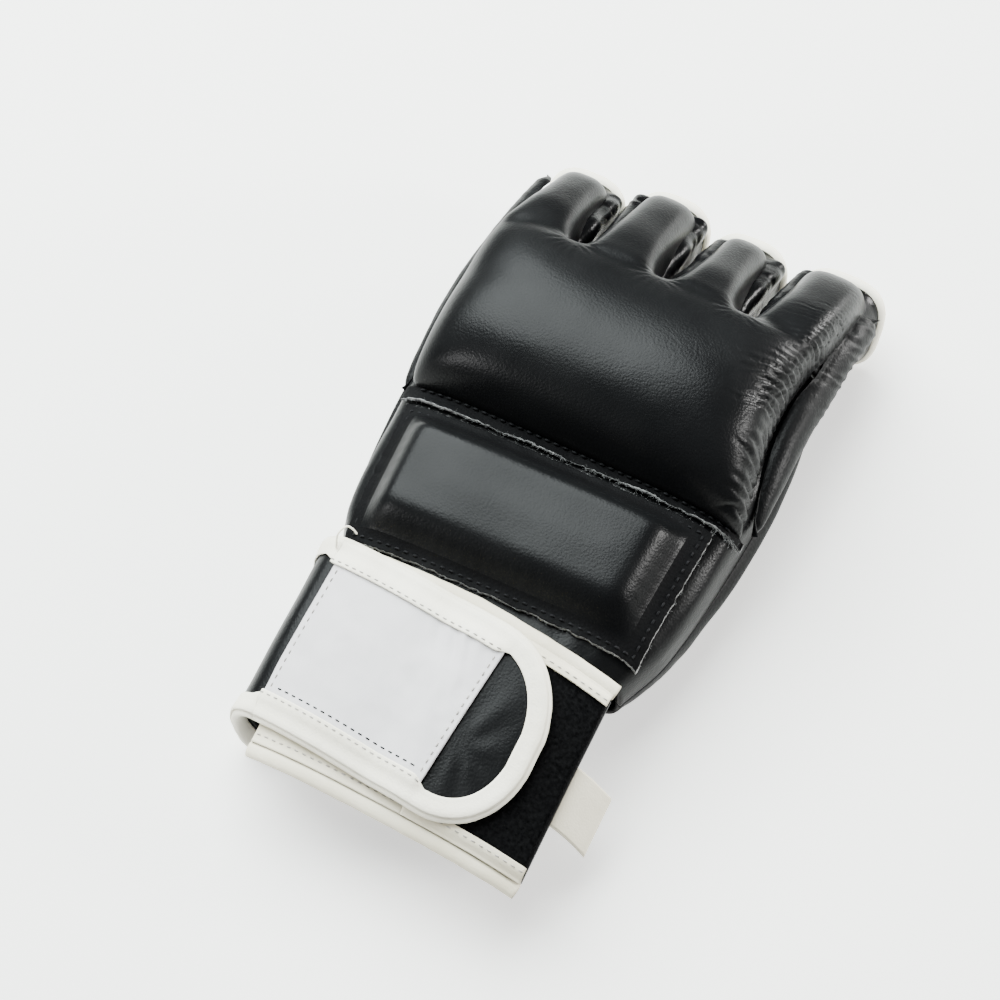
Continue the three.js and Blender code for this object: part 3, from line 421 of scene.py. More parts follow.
def edge_frames(edge, inside, offset, closed=False):
    """Centres and directions of a roll that runs along a sheet's edge, pushed out past the edge."""
    if closed:
        run = np.roll(edge, -1, axis=0) - np.roll(edge, 1, axis=0)
    else:
        run = np.gradient(edge, axis=0)
    run = unit(run)
    inwards = inside - edge
    along = -unit(inwards - run * np.sum(inwards * run, axis=1, keepdims=True))
    up = unit(np.cross(run, along))
    return edge + along * offset, along, up


# Surfaces of the hand


def hand_at(y):
    hand = row_at(HAND, "y", y)
    hand["middle"] = (hand["left"] + hand["right"]) / 2
    hand["half"] = (hand["right"] - hand["left"]) / 2
    return hand


def seam_height(hand, x):
    return mix(hand["seam_left"], hand["seam_right"], np.clip((x - hand["left"]) / (2 * hand["half"]), 0, 1))


def back_height(x, y):
    hand = hand_at(y)
    seam = seam_height(hand, x)
    return seam + (hand["crown"] - seam) * superellipse((x - hand["middle"]) / hand["half"], BACK_POWER)


def palm_height(x, y):
    hand = hand_at(y)
    share = (x - hand["middle"]) / (hand["half"] + hand["bulge"])
    seam = seam_height(hand, x) - GAP
    floor = hand["belly"] - hand["fall"] * (x - hand["middle"])
    return seam + (floor - seam) * superellipse(share, PALM_POWER)


def back_line(y, count):
    hand = hand_at(y)
    across, up = power_arc(np.linspace(-90, 90, 181), BACK_POWER)
    x = hand["middle"] + hand["half"] * across
    seam = seam_height(hand, x)
    return evenly(np.stack([x, np.full_like(x, y), seam + (hand["crown"] - seam) * up], 1), count)


def palm_line(y, count):
    hand = hand_at(y)
    across, sink = power_arc(np.linspace(-90, 90, 181), PALM_POWER)
    swell = hand["bulge"] * np.sin(np.pi * np.minimum(sink / 0.8, 1)) * np.sign(across)
    x = hand["middle"] + hand["half"] * across
    seam = seam_height(hand, x) - GAP
    floor = hand["belly"] - hand["fall"] * (x - hand["middle"])
    return evenly(np.stack([x + swell, np.full_like(x, y), seam + (floor - seam) * sink], 1), count)


def wrist_height(x, y):
    row = row_at(WRIST, "y", y)
    return row["crown"] - row["drop"] * (np.abs(x) / WRIST_HALF) ** WRIST_POWER


def finger(i):
    return {name: values[i] for name, values in FINGERS.items()}


def finger_rings(one, ts, sides, grow=0.0):
    """Rings of a finger tube at shares ts of its course."""
    course = row_at(COURSE, "t", ts)
    full = COURSE["drop"][-1]
    x = mix(one["root_x"], one["tip_x"], ts)
    z = one["root_z"] - course["drop"] / full * (one["root_z"] - TIP_Z)
    half = mix(one["root_half"], one["tip_half"], ts) + grow
    tilt = np.radians(course["tilt"])
    across, up = power_arc(90 - np.linspace(0, 360, sides, endpoint=False), SLEEVE_POWER)
    high = np.where(up > 0, course["over"][:, None], course["under"][:, None]) + grow
    rings = np.empty((len(ts), sides, 3))
    rings[..., 0] = x[:, None] + half[:, None] * across
    rings[..., 1] = (course["y"] + one["reach"] * ts)[:, None] + high * up * np.sin(tilt)[:, None]
    rings[..., 2] = z[:, None] + high * up * np.cos(tilt)[:, None]
    return rings


def finger_middle_height(one, y):
    course = row_at(COURSE, "y", y)
    return one["root_z"] - course["drop"] / COURSE["drop"][-1] * (one["root_z"] - TIP_Z)


# Materials


def new_material(name):
    material = bpy.data.materials.new(name)
    material.use_nodes = True
    nodes = material.node_tree.nodes
    return material, nodes, material.node_tree.links, nodes["Principled BSDF"]


def coordinates(nodes):
    return nodes.new("ShaderNodeTexCoord").outputs["Object"]


def noise_node(nodes, links, where, scale, detail=3.0, roughness=0.55):
    node = nodes.new("ShaderNodeTexNoise")
    node.inputs["Scale"].default_value = scale
    node.inputs["Detail"].default_value = detail
    node.inputs["Roughness"].default_value = roughness
    links.new(where, node.inputs["Vector"])
    return node.outputs["Fac"]


def ramp_node(nodes, links, factor, stops):
    node = nodes.new("ShaderNodeValToRGB")
    elements = node.color_ramp.elements
    while len(elements) < len(stops):
        elements.new(0.5)
    for element, (place, colour) in zip(elements, stops):
        element.position = place
        element.color = (*colour, 1)
    links.new(factor, node.inputs["Fac"])
    return node.outputs["Color"]


def range_node(nodes, links, value, low, high, to_low, to_high):
    node = nodes.new("ShaderNodeMapRange")
    for name, number in (("From Min", low), ("From Max", high), ("To Min", to_low), ("To Max", to_high)):
        node.inputs[name].default_value = number
    links.new(value, node.inputs["Value"])
    return node.outputs["Result"]


def math_node(nodes, links, operation, a, b):
    node = nodes.new("ShaderNodeMath")
    node.operation = operation
    for socket, value in zip(node.inputs, (a, b)):
        if isinstance(value, (int, float)):
            socket.default_value = value
        else:
            links.new(value, socket)
    return node.outputs["Value"]


def bump_node(nodes, links, height, distance, normal=None):
    node = nodes.new("ShaderNodeBump")
    node.inputs["Distance"].default_value = distance
    node.inputs["Strength"].default_value = 1.0
    links.new(height, node.inputs["Height"])
    if normal is not None:
        links.new(normal, node.inputs["Normal"])
    return node.outputs["Normal"]


def grain_height(nodes, links, where, cell):
    """Height of a pebbled leather grain: rounded cells parted by fine creases."""
    warp = nodes.new("ShaderNodeTexNoise")
    warp.inputs["Scale"].default_value = 0.6 / cell
    links.new(where, warp.inputs["Vector"])
    shifted = nodes.new("ShaderNodeVectorMath")
    shifted.operation = "MULTIPLY_ADD"
    links.new(warp.outputs["Color"], shifted.inputs[0])
    shifted.inputs[1].default_value = (cell * 0.9,) * 3
    links.new(where, shifted.inputs[2])
    cells = nodes.new("ShaderNodeTexVoronoi")
    cells.feature = "SMOOTH_F1"
    cells.inputs["Scale"].default_value = 1 / cell
    cells.inputs["Smoothness"].default_value = 0.5
    links.new(shifted.outputs["Vector"], cells.inputs["Vector"])
    dome = math_node(nodes, links, "MULTIPLY", cells.outputs["Distance"], -1.0)
    fine = noise_node(nodes, links, where, 2.6 / cell, 2.0)
    return math_node(nodes, links, "ADD", dome, math_node(nodes, links, "MULTIPLY", fine, 0.3))


def leather(name, colour, worn, roughness, cell, depth, specular=0.07):
    material, nodes, links, shader = new_material(name)
    where = coordinates(nodes)
    patches = noise_node(nodes, links, where, 55.0, 4.0)
    tint = ramp_node(nodes, links, patches, [(0.3, colour), (0.75, worn)])
    links.new(tint, shader.inputs["Base Color"])
    mixed = grain_height(nodes, links, where, cell)
    gloss = noise_node(nodes, links, where, 38.0, 3.0)
    links.new(
        range_node(nodes, links, gloss, 0.3, 0.7, roughness - 0.05, roughness + 0.07),
        shader.inputs["Roughness"],
    )
    soft = bump_node(nodes, links, noise_node(nodes, links, where, 160.0, 3.0), 0.00003)
    links.new(bump_node(nodes, links, mixed, depth, soft), shader.inputs["Normal"])
    shader.inputs["Specular IOR Level"].default_value = specular
    return material


def weave(name, colour, dark, pitch, roughness, depth, sheen=0.0):
    """A woven fabric: two crossing sets of threads."""
    material, nodes, links, shader = new_material(name)
    where = coordinates(nodes)
    waves = []
    for direction in ("X", "Y"):
        wave = nodes.new("ShaderNodeTexWave")
        wave.bands_direction = direction
        wave.inputs["Scale"].default_value = 0.314 / pitch
        wave.inputs["Distortion"].default_value = 1.2
        wave.inputs["Detail"].default_value = 1.0
        wave.inputs["Detail Scale"].default_value = 2.0
        links.new(where, wave.inputs["Vector"])
        waves.append(wave.outputs["Fac"])
    height = math_node(nodes, links, "MULTIPLY", waves[0], waves[1])
    cloud = noise_node(nodes, links, where, 90.0, 4.0)
    shade = math_node(nodes, links, "MULTIPLY_ADD", height, 0.5)
    links.new(cloud, shade.node.inputs[2])
    tint = ramp_node(nodes, links, shade, [(0.3, dark), (0.8, colour)])
    links.new(tint, shader.inputs["Base Color"])
    shader.inputs["Roughness"].default_value = roughness
    if sheen:
        shader.inputs["Sheen Weight"].default_value = sheen
        shader.inputs["Sheen Roughness"].default_value = 0.4
    links.new(bump_node(nodes, links, height, depth), shader.inputs["Normal"])
    return material


def fibre(name, colour, tip, roughness=0.85, specular=0.3):
    material, nodes, links, shader = new_material(name)
    where = coordinates(nodes)
    tint = ramp_node(nodes, links, noise_node(nodes, links, where, 900.0, 2.0), [(0.3, colour), (0.7, tip)])
    links.new(tint, shader.inputs["Base Color"])
    shader.inputs["Roughness"].default_value = roughness
    shader.inputs["Specular IOR Level"].default_value = specular
    return material


DARK, WORN_DARK = (0.0022, 0.0023, 0.0025), (0.0035, 0.0036, 0.0038)
THIN, WORN_THIN = (0.0016, 0.0016, 0.0018), (0.0026, 0.0026, 0.0028)
DULL, WORN_DULL = (0.0018, 0.0018, 0.002), (0.003, 0.003, 0.0032)
BLACK = leather("black_leather", DARK, WORN_DARK, 0.33, 0.00075, 0.00005)
SOFT_BLACK = leather("soft_black_leather", DARK, WORN_DARK, 0.42, 0.0009, 0.00008)
GLOSSY = leather("thin_black_leather", THIN, WORN_THIN, 0.26, 0.0009, 0.00005, 0.045)
MATTE = leather("matte_black_leather", DULL, WORN_DULL, 0.62, 0.0009, 0.0001, 0.03)
WHITE = leather("white_leather", (0.6, 0.57, 0.47), (0.7, 0.67, 0.57), 0.5, 0.0007, 0.00006, 0.3)
CREAM = leather("cream_leather", (0.48, 0.44, 0.33), (0.58, 0.54, 0.43), 0.55, 0.0007, 0.00006, 0.3)
LINING = weave("black_lining", (0.03, 0.03, 0.033), (0.012, 0.012, 0.013), 0.0007, 0.9, 0.0001, 0.2)
SATIN = weave("grey_fabric", (0.46, 0.445, 0.45), (0.38, 0.366, 0.376), 0.00035, 0.48, 0.00003, 0.1)
PILE_CLOTH = fibre("black_pile", (0.0012, 0.0012, 0.0013), (0.004, 0.004, 0.0042), 1.0, 0.01)
RAW_EDGE = fibre("raw_leather_edge", (0.05, 0.05, 0.051), (0.2, 0.2, 0.196), 0.9)
BLACK_THREAD = fibre("black_thread", (0.003, 0.003, 0.0033), (0.008, 0.008, 0.0088), 0.6, 0.05)
# Thread of the tape and label stitches: its mid-grey is painted shade along the stitch dashes, on a thread
# that is itself pale
SHADE_GREY_THREAD = fibre("shade_grey_thread", (0.2, 0.19, 0.17), (0.32, 0.3, 0.28), 0.7)


# Fine parts

STITCH_SUNK = 0.35  # share of the thread's radius that lies below the surface


def stitches(name, path, normals, pitch, length, radius, material):
    """A row of stitches along a path of points: short threads that dip into the surface."""
    lengths = lengths_along(path)
    count = max(int(lengths[-1] / pitch), 1)
    share = np.linspace(-1, 1, 6)
    lift = radius * (1 - STITCH_SUNK) - radius * 1.9 * np.abs(share) ** 3
    size = np.sqrt(np.maximum(1 - (np.abs(share) * 0.92) ** 4, 0.02))[:, None]
    shapes = []
    for middle in (np.arange(count) + 0.5) * lengths[-1] / count:
        where = middle + share * length / 2
        line = points_at(where, lengths, path)
        up = unit(points_at(where, lengths, normals))
        side = unit(np.cross(unit(np.gradient(line, axis=0)), up))
        frames = (line + up * lift[:, None], side, up)
        shapes.append(loft_mesh(roll_rings(frames, (radius, radius), 6, size)))
    return make(name, *joined(shapes), material)


def strands(name, roots, directions, lengths, radius, material, seed, curl=0.35):
    """Loose fibres: thin three-sided hairs that bend as they leave their roots."""
    random = np.random.default_rng(seed)
    rows = 4
    n = rows * 3
    angle = np.linspace(0, 2 * np.pi, 3, endpoint=False)
    sides = grid_faces(rows, 3, True)
    shapes = []
    for root, direction, length in zip(roots, directions, lengths):
        direction = unit(direction)
        bend = unit(random.normal(size=3)) * curl
        share = np.linspace(0, 1, rows)[:, None]
        line = root + direction * length * share + bend * length * share**2
        side = unit(np.cross(direction, random.normal(size=3)))
        other = np.cross(direction, side)
        size = radius * (1 - 0.75 * share)
        ring = line[:, None] + size[:, None] * (
            side[None, None] * np.cos(angle)[None, :, None] + other[None, None] * np.sin(angle)[None, :, None]
        )
        shapes.append((ring.reshape(-1, 3), sides + [[2, 1, 0], [n - 3, n - 2, n - 1]]))
    return make(name, *joined(shapes), material, recalc=False)


def fray(name, line, outwards, count, seed, longest=1.2):
    """Loose fibres along a raw leather edge."""
    random = np.random.default_rng(seed)
    lengths = lengths_along(line)
    where = random.uniform(0, lengths[-1], count)
    where += 1.2 * np.sin(where * 1.7) + 0.8 * np.sin(where * 0.6)
    roots = points_at(where, lengths, line)
    directions = points_at(where, lengths, outwards) + random.normal(0, 0.7, (count, 3))
    size = random.uniform(0.25, 1, count) ** 1.6 * longest
    hair = strands(name, roots, directions, size, 0.055, RAW_EDGE, seed + 1, curl=0.7)


# Shell of the hand

HAND_YS = np.linspace(HAND_REAR, HAND_FRONT, 90)


def face_of(line_of, count):
    return np.stack([line_of(y, count) for y in HAND_YS])


def shell_wall(grid, outward, folds):
    """A shell's sheet: outer face in place with small folds, inner face a wall further in."""
    columns = grid.shape[1]
    normals = turned(grid_normals(grid), (len(grid) // 2, columns // 2), outward)
    keep = smooth(np.minimum(np.arange(columns), np.arange(columns)[::-1]) / 10)
    outer = grid + normals * (folds * keep)[..., None]
    inner = grid - normals * SHELL_WALL
    inner[:, [0, -1], 2] = grid[:, [0, -1], 2]
    return wall_mesh(outer, inner)


back_grid = face_of(back_line, 150)
palm_grid = face_of(palm_line, 170)


def back_folds():
    """Soft folds of the back panel behind the back pad and along its sides."""
    x, y = back_grid[..., 0], back_grid[..., 1]
    broad = noise_at(back_grid, (0.05, 0.09, 0.05), 3.0)
    fine = noise_at(back_grid, (0.16, 0.05, 0.16), 8.0)
    rear = smooth((-40 - y) / 12)
    side = smooth((np.abs(x) - 46) / 8)
    return 0.5 * broad * (0.3 + rear) + 0.35 * fine * np.maximum(rear, side) - 0.5


def build_back_panel():
    piece = make("back_panel_leather", *shell_wall(back_grid, 1, back_folds()), BLACK)
    stands_for(piece, "back_panel")


build_back_panel()


def build_lining():
    trimmed = back_grid[:-9, 26:-26]
    down = turned(grid_normals(back_grid)[:-9, 26:-26], (50, 60), -1)
    wave = 0.12 * noise_at(trimmed, 0.08, 21.0) + 0.12
    outer = trimmed + down * (SHELL_WALL + GAP)
    inner = outer + down * (LINING_WALL + wave)[..., None]
    stands_for(make("back_lining_cloth", *wall_mesh(outer, inner), LINING), "back_lining")


build_lining()


def opening_outline(grow, count):
    """Points round the palm opening in plan, anticlockwise from its front left corner."""
    left, right = PALM_OPENING["left"], PALM_OPENING["right"]
    rear, front = PALM_OPENING["rear"] - grow, PALM_OPENING["front"]
    straight, corner = PALM_OPENING["straight"], PALM_OPENING["corner"]
    middle, half = (left + right) / 2, (right - left) / 2 + grow

    def bend(a, b, c):
        t = np.linspace(0, 1, 12)[:, None]
        return (1 - t) ** 2 * np.array(a) + 2 * t * (1 - t) * np.array(b) + t**2 * np.array(c)

    ends = np.radians(np.linspace(0, 180, 60))
    arc = np.stack([middle + half * np.cos(ends), straight + (front - straight + grow) * np.sin(ends)], 1)
    outline = np.concatenate(
        [
            bend((middle - half, rear + corner), (middle - half, rear), (middle - half + corner, rear)),
            bend((middle + half - corner, rear), (middle + half, rear), (middle + half, rear + corner)),
            arc,
        ]
    )
    closed = np.concatenate([outline, outline[:1]])
    flat = np.concatenate([closed, np.zeros((len(closed), 1))], 1)
    return evenly(flat, count + 1)[:-1, :2]


def inside_outline(x, y, outline):
    """Whether places in plan lie inside a closed outline."""
    inside = np.zeros(np.shape(x), dtype=bool)
    ax, ay = outline[:, 0], outline[:, 1]
    bx, by = np.roll(ax, -1), np.roll(ay, -1)
    for x1, y1, x2, y2 in zip(ax, ay, bx, by):
        if y1 == y2:
            continue
        crosses = (y1 > y) != (y2 > y)
        inside ^= crosses & (x < (x2 - x1) * (y - y1) / (y2 - y1) + x1)
    return inside


def palm_folds():
    """Creases of the palm: webs at the finger roots, soft folds round the opening and the heel."""
    x, y = palm_grid[..., 0], palm_grid[..., 1]
    folds = 0.35 * noise_at(palm_grid, (0.06, 0.08, 0.05), 5.0)
    folds += 0.22 * noise_at(palm_grid, (0.18, 0.1, 0.1), 11.0)
    for root in mix(FINGERS["root_x"][:-1], FINGERS["root_x"][1:], 0.5):
        away = np.hypot(x - root, (y - 61) / 1.3)
        ring = np.cos(away / 1.9) * smooth((17 - away) / 13)
        folds += 0.5 * ring * smooth((y - 40) / 8)
    heel = smooth((-30 - y) / 14)
    folds += 0.35 * heel * noise_at(palm_grid, (0.05, 0.3, 0.1), 2.0)
    return folds - 0.45


def build_palm():
    outline = opening_outline(0.0, 400)
    hollow = inside_outline(palm_grid[..., 0], palm_grid[..., 1], outline)
    points, faces = shell_wall(palm_grid, -1, palm_folds())
    n = len(points) // 2
    gone = np.concatenate([hollow.reshape(-1)] * 2)
    kept = [face for face in faces if not gone[face].all()]
    # Corners that lie inside the opening are drawn out to its outline
    used = sorted({v for face in kept for v in face if gone[v]})
    for v in used:
        base = palm_grid.reshape(-1, 3)[v % n]
        away = outline - base[:2]
        near = outline[np.argmin(np.sum(away**2, axis=1))]
        points[v, :2] += near - base[:2]
    rim = {}
    for face in kept:
        for a, b in zip(face, face[1:] + face[:1]):
            rim[(a, b)] = rim.get((a, b), 0) + 1
    lonely = [pair for pair in rim if (pair[1], pair[0]) not in rim and pair[0] < n and pair[1] < n]
    kept += [[b, a, a + n, b + n] for a, b in lonely]
    stands_for(make("palm_leather", points, kept, SOFT_BLACK), "palm_panel")


build_palm()


def build_opening_binding():
    outline = opening_outline(-PALM_ROLL[0] - GAP, 260)
    run = unit(np.roll(outline, -1, axis=0) - np.roll(outline, 1, axis=0))
    run3 = np.concatenate([run, np.zeros((len(run), 1))], 1)
    up = np.tile([0.0, 0.0, 1.0], (len(run), 1))
    along = np.cross(run3, up)
    z = palm_height(outline[:, 0], outline[:, 1]) + SHELL_WALL / 2
    frames = (np.concatenate([outline, z[:, None]], 1), along, up)
    name, node = "palm_opening_edge", "palm_opening_binding"
    edge_roll(name, node, frames, PALM_ROLL, 20, WHITE, 0.96, 0.05, 0.35, 4.0, closed=True)


build_opening_binding()


# Finger tubes


def gusset_folds(grid, seed, right, left):
    """A soft fold along each upper side of a tube that has a neighbour, with irregular cross wrinkles."""
    sides = grid.shape[1]
    angle = np.linspace(0, 360, sides, endpoint=False)
    shoulder = right * bump(angle, 48, 20) + left * bump(angle, 132, 20)
    t = np.linspace(0, 1, grid.shape[0])[:, None]
    uneven = 1 + 0.5 * noise_at(grid, (0.1, 0.07, 0.1), seed + 2)
    fold = 3.4 * shoulder * smooth(t / 0.1) * smooth((1.02 - t) / 0.12) * uneven
    y = grid[..., 1] + grid[..., 2] * 0.4
    warp = 2.2 * noise_at(grid, 0.14, seed)
    ridges = np.abs(np.sin((y + warp) / 1.5 + 1.6 * noise_at(grid, 0.22, seed + 5)))
    strength = smooth(0.5 + 0.9 * noise_at(grid, (0.12, 0.09, 0.12), seed + 9)) * (0.2 + 0.8 * shoulder)
    return fold + 0.6 * (ridges**0.7 - 0.6) * strength


def build_sleeve(i):
    one = finger(i)
    ts = np.linspace(0, 1, 52)
    grid = finger_rings(one, ts, 90)
    inner = finger_rings(one, ts, 90, -SLEEVE_WALL)
    normals = grid_normals(grid, wrap=True)
    centre = grid.mean(axis=1, keepdims=True)
    if np.mean(np.sum(normals * (grid - centre), axis=-1)) < 0:
        normals = -normals
    ends = (smooth(ts / 0.08) * smooth((1 - ts) / 0.06))[:, None]
    right, left = float(i < 3), float(i > 0)
    folds = (gusset_folds(grid, 13.0 + i, right, left) - 0.3) * ends
    outer = grid + normals * folds[..., None]
    name = FINGER_NAMES[i]
    piece = make(f"{name}_finger_leather", *wall_mesh(outer, inner, wrap=True), GLOSSY)
    stands_for(piece, f"{name}_sleeve")


for number in range(4):
    build_sleeve(number)


def build_finger_binding(i):
    one = finger(i)
    rim = finger_rings(one, np.array([1.0]), 160, -SLEEVE_WALL / 2)[0]
    inside = finger_rings(one, np.array([0.67]), 160, -SLEEVE_WALL / 2)[0]
    frames = edge_frames(rim, inside, FINGER_ROLL[0] + GAP, closed=True)
    name, node = f"{FINGER_NAMES[i]}_finger_edge", f"{FINGER_NAMES[i]}_binding"
    edge_roll(name, node, frames, FINGER_ROLL, 20, WHITE, 0.97, 0.05, 0.45, 31.0 + i, closed=True)


for number in range(4):
    build_finger_binding(number)


# Side strips


def build_strip(rows, side, name, node, seed, wrinkled, plump):
    ys = np.linspace(rows["y"][0], rows["y"][-1], 150)
    row = row_at(rows, "y", ys)
    lean = math.radians(STRIP_LEAN) * side
    across = np.array([math.cos(lean), 0, -math.sin(lean)])
    up = np.array([math.sin(lean), 0, math.cos(lean)])
    angle = np.linspace(0, 2 * np.pi, 40, endpoint=False)
    centre = np.stack([row["x"], ys, row["z"]], 1)
    cap = np.sqrt(np.clip((ys - ys[0]) / 4, 0.02, 1)) * np.sqrt(np.clip((ys[-1] - ys) / 4, 0.02, 1))
    wide = plump * (row["across"] * cap)[:, None] * np.cos(angle)
    thick = plump * (row["thick"] * cap)[:, None] * np.sin(angle)
    rings = centre[:, None] + across * wide[..., None] + up * thick[..., None]
    outward = unit(across * np.cos(angle)[:, None] + up * np.sin(angle)[:, None])
    front = wrinkled * smooth((ys - 40) / 30)[:, None]
    warp = noise_at(rings, 0.12, seed) * 2.0
    cross = np.sin((rings[..., 1] + 0.5 * rings[..., 2] + warp) / 0.62)
    patchy = smooth(0.5 + noise_at(rings, 0.12, seed + 3))
    folds = 0.34 * cross * patchy * front + 0.2 * noise_at(rings, (0.2, 0.12, 0.2), seed + 7) - 0.25
    rings = drape(rings + outward[None] * folds[..., None], up)
    stands_for(make(name, *loft_mesh(rings), SOFT_BLACK), node)


DRAPE_REACH = 25.0
DRAPE_SPREAD = 7


def over_window(values, spread, take):
    """A column's values replaced by what take makes of those around each one."""
    wide = np.pad(values, ((spread, spread), (0, 0)), "edge")
    return take([wide[k : k + len(values)] for k in range(2 * spread + 1)], axis=0)


def drape(rings, outward):
    """Rings of a roll moved outwards until they clear what is under them, evenly along the roll."""
    push = np.zeros(rings.shape[:2])
    for i, j in np.ndindex(push.shape):
        start = Vector((rings[i, j] + outward * DRAPE_REACH).tolist())
        for tree in UNDER:
            hit = tree.ray_cast(start, Vector((-outward).tolist()), 2 * DRAPE_REACH)[3]
            if hit is not None:
                push[i, j] = max(push[i, j], DRAPE_REACH - hit + GAP)
    even = over_window(over_window(push, DRAPE_SPREAD, np.max), DRAPE_SPREAD, np.mean)
    return rings + outward * even[..., None]


def solid_bvh(rings):
    """Search tree of a solid through rings, its faces turned outwards, in pattern millimetres."""
    points, faces = loft_mesh(rings)
    work = bmesh.new()
    corners = [work.verts.new(p) for p in points]
    for face in faces:
        work.faces.new([corners[v] for v in face])
    bmesh.ops.recalc_face_normals(work, faces=work.faces)
    bmesh.ops.triangulate(work, faces=work.faces)
    tree = BVHTree.FromBMesh(work)
    work.free()
    return tree


def hand_core():
    """The hand under the back panel as rings, as far as the finger tubes."""
    lines = [back_line(y, 120) for y in np.linspace(HAND_REAR, HAND_FRONT + 0.6, 60)]
    rings = [np.concatenate([line, line[[-1, 0]] * (1, 1, 0) + (0, 0, HAND_CORE_LEVEL)]) for line in lines]
    return np.array(rings)


UNDER = [solid_bvh(hand_core())]
UNDER += [solid_bvh(finger_rings(finger(i), np.linspace(0, 1, 40), 80)) for i in range(4)]
UNDER_STEP = 0.8
UNDER_XS = np.arange(-62, 66, UNDER_STEP)
UNDER_YS = np.arange(-4, 108, UNDER_STEP)


def under_map():
    """Height of the hand and the finger tubes over a grid of places in plan."""
    heights = np.full((len(UNDER_XS), len(UNDER_YS)), -np.inf)
    for i, x in enumerate(UNDER_XS):
        for j, y in enumerate(UNDER_YS):
            for tree in UNDER:
                hit = tree.ray_cast(Vector((x, y, 120)), Vector((0, 0, -1)))[0]
                if hit is not None:
                    heights[i, j] = max(heights[i, j], hit.z)
    # The narrow gap where the finger tubes begin is closed
    wide = np.pad(heights, ((0, 0), (1, 1)), "edge")
    heights = np.maximum.reduce([wide[:, :-2], heights, wide[:, 2:]])
    return np.maximum(heights, 8.0)


UNDER_HEIGHTS = under_map()


def under_height(x, y):
    """Height of what lies under the pads, between the places of the map."""
    u = np.clip((x - UNDER_XS[0]) / UNDER_STEP, 0, len(UNDER_XS) - 1.001)
    v = np.clip((y - UNDER_YS[0]) / UNDER_STEP, 0, len(UNDER_YS) - 1.001)
    i, j = u.astype(int), v.astype(int)
    p, q = u - i, v - j
    near = mix(UNDER_HEIGHTS[i, j], UNDER_HEIGHTS[i + 1, j], p)
    far = mix(UNDER_HEIGHTS[i, j + 1], UNDER_HEIGHTS[i + 1, j + 1], p)
    return mix(near, far, q)


build_strip(ULNAR_STRIP, 1, "little_side_roll", "ulnar_side_strip", 41.0, 1.0, 1.3)
build_strip(INDEX_STRIP, -1, "index_side_roll", "index_side_strip", 47.0, 0.15, 1.0)


# Knuckle pad


def knuckle_body():
    ys = np.concatenate([np.linspace(0.6, 8, 14), np.linspace(9, 60.5, 44)])
    rows = row_at(KNUCKLE, "y", ys)
    rings = []
    for n, y in enumerate(ys):
        middle = (rows["left"][n] + rows["right"][n]) / 2
        half = (rows["right"][n] - rows["left"][n]) / 2
        top = back_height(middle, y) + rows["thick"][n]
        power = mix(KNUCKLE_POWER, KNUCKLE_FRONT_POWER, smooth((y - 34) / 24))
        across, rise = power_arc(np.linspace(-90, 90, 181), power)
        x = middle + half * across
        base = back_height(x, y) + GAP
        over = evenly(np.stack([x, np.full_like(x, y), base + (top - base) * rise], 1), 90)
        xs = np.linspace(rows["right"][n], rows["left"][n], 30)[1:-1]
        under = np.stack([xs, np.full_like(xs, y), back_height(xs, y) + GAP], 1)
        rings.append(np.concatenate([over, under]))
    return np.array(rings)


def lobe_rings(i):
    one = finger(i)
    lobe = {name: values[i] for name, values in LOBES.items()}
    ys = np.concatenate([np.linspace(50, 96, 40), np.linspace(96.8, 100, 6)])
    rows = row_at(LOBE, "y", ys)
    half = mix(lobe["tip_half"], lobe["root_half"], rows["root"]) * rows["share"]
    middle = mix(lobe["tip_x"], lobe["root_x"], rows["root"])
    crown = rows["crown"] - lobe["root_drop"] * rows["root"]
    base = finger_middle_height(one, ys)
    powers = mix(LOBE_TIP_POWER, LOBE_ROOT_POWER, rows["root"])
    arcs = [power_arc(90 - np.linspace(0, 360, 64, endpoint=False), power) for power in powers]
    across, up = np.array(arcs).transpose(1, 0, 2)
    high = np.where(up > 0, (crown - base)[:, None], LOBE_SINK)
    stretch = one["reach"] * np.clip((ys - LOBE["y"][1]) / (LOBE["y"][-1] - LOBE["y"][1]), 0, 1)
    rings = np.empty((len(ys), 64, 3))
    rings[..., 0] = middle[:, None] + half[:, None] * across
    rings[..., 1] = (ys + stretch)[:, None]
    rings[..., 2] = base[:, None] + high * up
    return rings


def apply_modifiers(piece):
    graph = bpy.context.evaluated_depsgraph_get()
    baked = bpy.data.meshes.new_from_object(piece.evaluated_get(graph))
    old = piece.data
    piece.modifiers.clear()
    piece.data = baked
    bpy.data.meshes.remove(old)


def read_points(piece):
    flat = np.empty(len(piece.data.vertices) * 3)
    piece.data.vertices.foreach_get("co", flat)
    return flat.reshape(-1, 3) / MM - SHIFT


def read_normals(piece):
    flat = np.empty(len(piece.data.vertices) * 3)
    piece.data.vertex_normals.foreach_get("vector", flat)
    return flat.reshape(-1, 3)


def write_points(piece, points):
    piece.data.vertices.foreach_set("co", ((points + SHIFT) * MM).ravel())
    piece.data.update()


KNUCKLE_VOXEL = 0.8
KNUCKLE_RELAXES = 60

# The outer seam, and the gathers along it: distance from one to the next, their reach and depth
OUTER_SEAM = table(
    "y x", (2, 58), (14, 56.5), (30, 54), (45, 52.6), (60, 53.5), (75, 55), (90, 57), (100, 58)
)
GATHERS = table(
    "y pitch reach depth",
    (0, 4.2, 10, 1.2),
    (10, 4.0, 13, 2.1),
    (24, 3.4, 14, 2.1),
    (40, 2.8, 15, 1.8),
    (56, 2.4, 16, 1.5),
    (72, 2.1, 13, 1.0),
    (86, 2.0, 9, 0.5),
    (96, 2.0, 6, 0.1),
)
FAN = 0.22  # the gathers lean towards the fingers as they leave the seam
SLOT_ENDS = ((-26.7, 60.0), (2.1, 60.0), (29.0, 60.0))


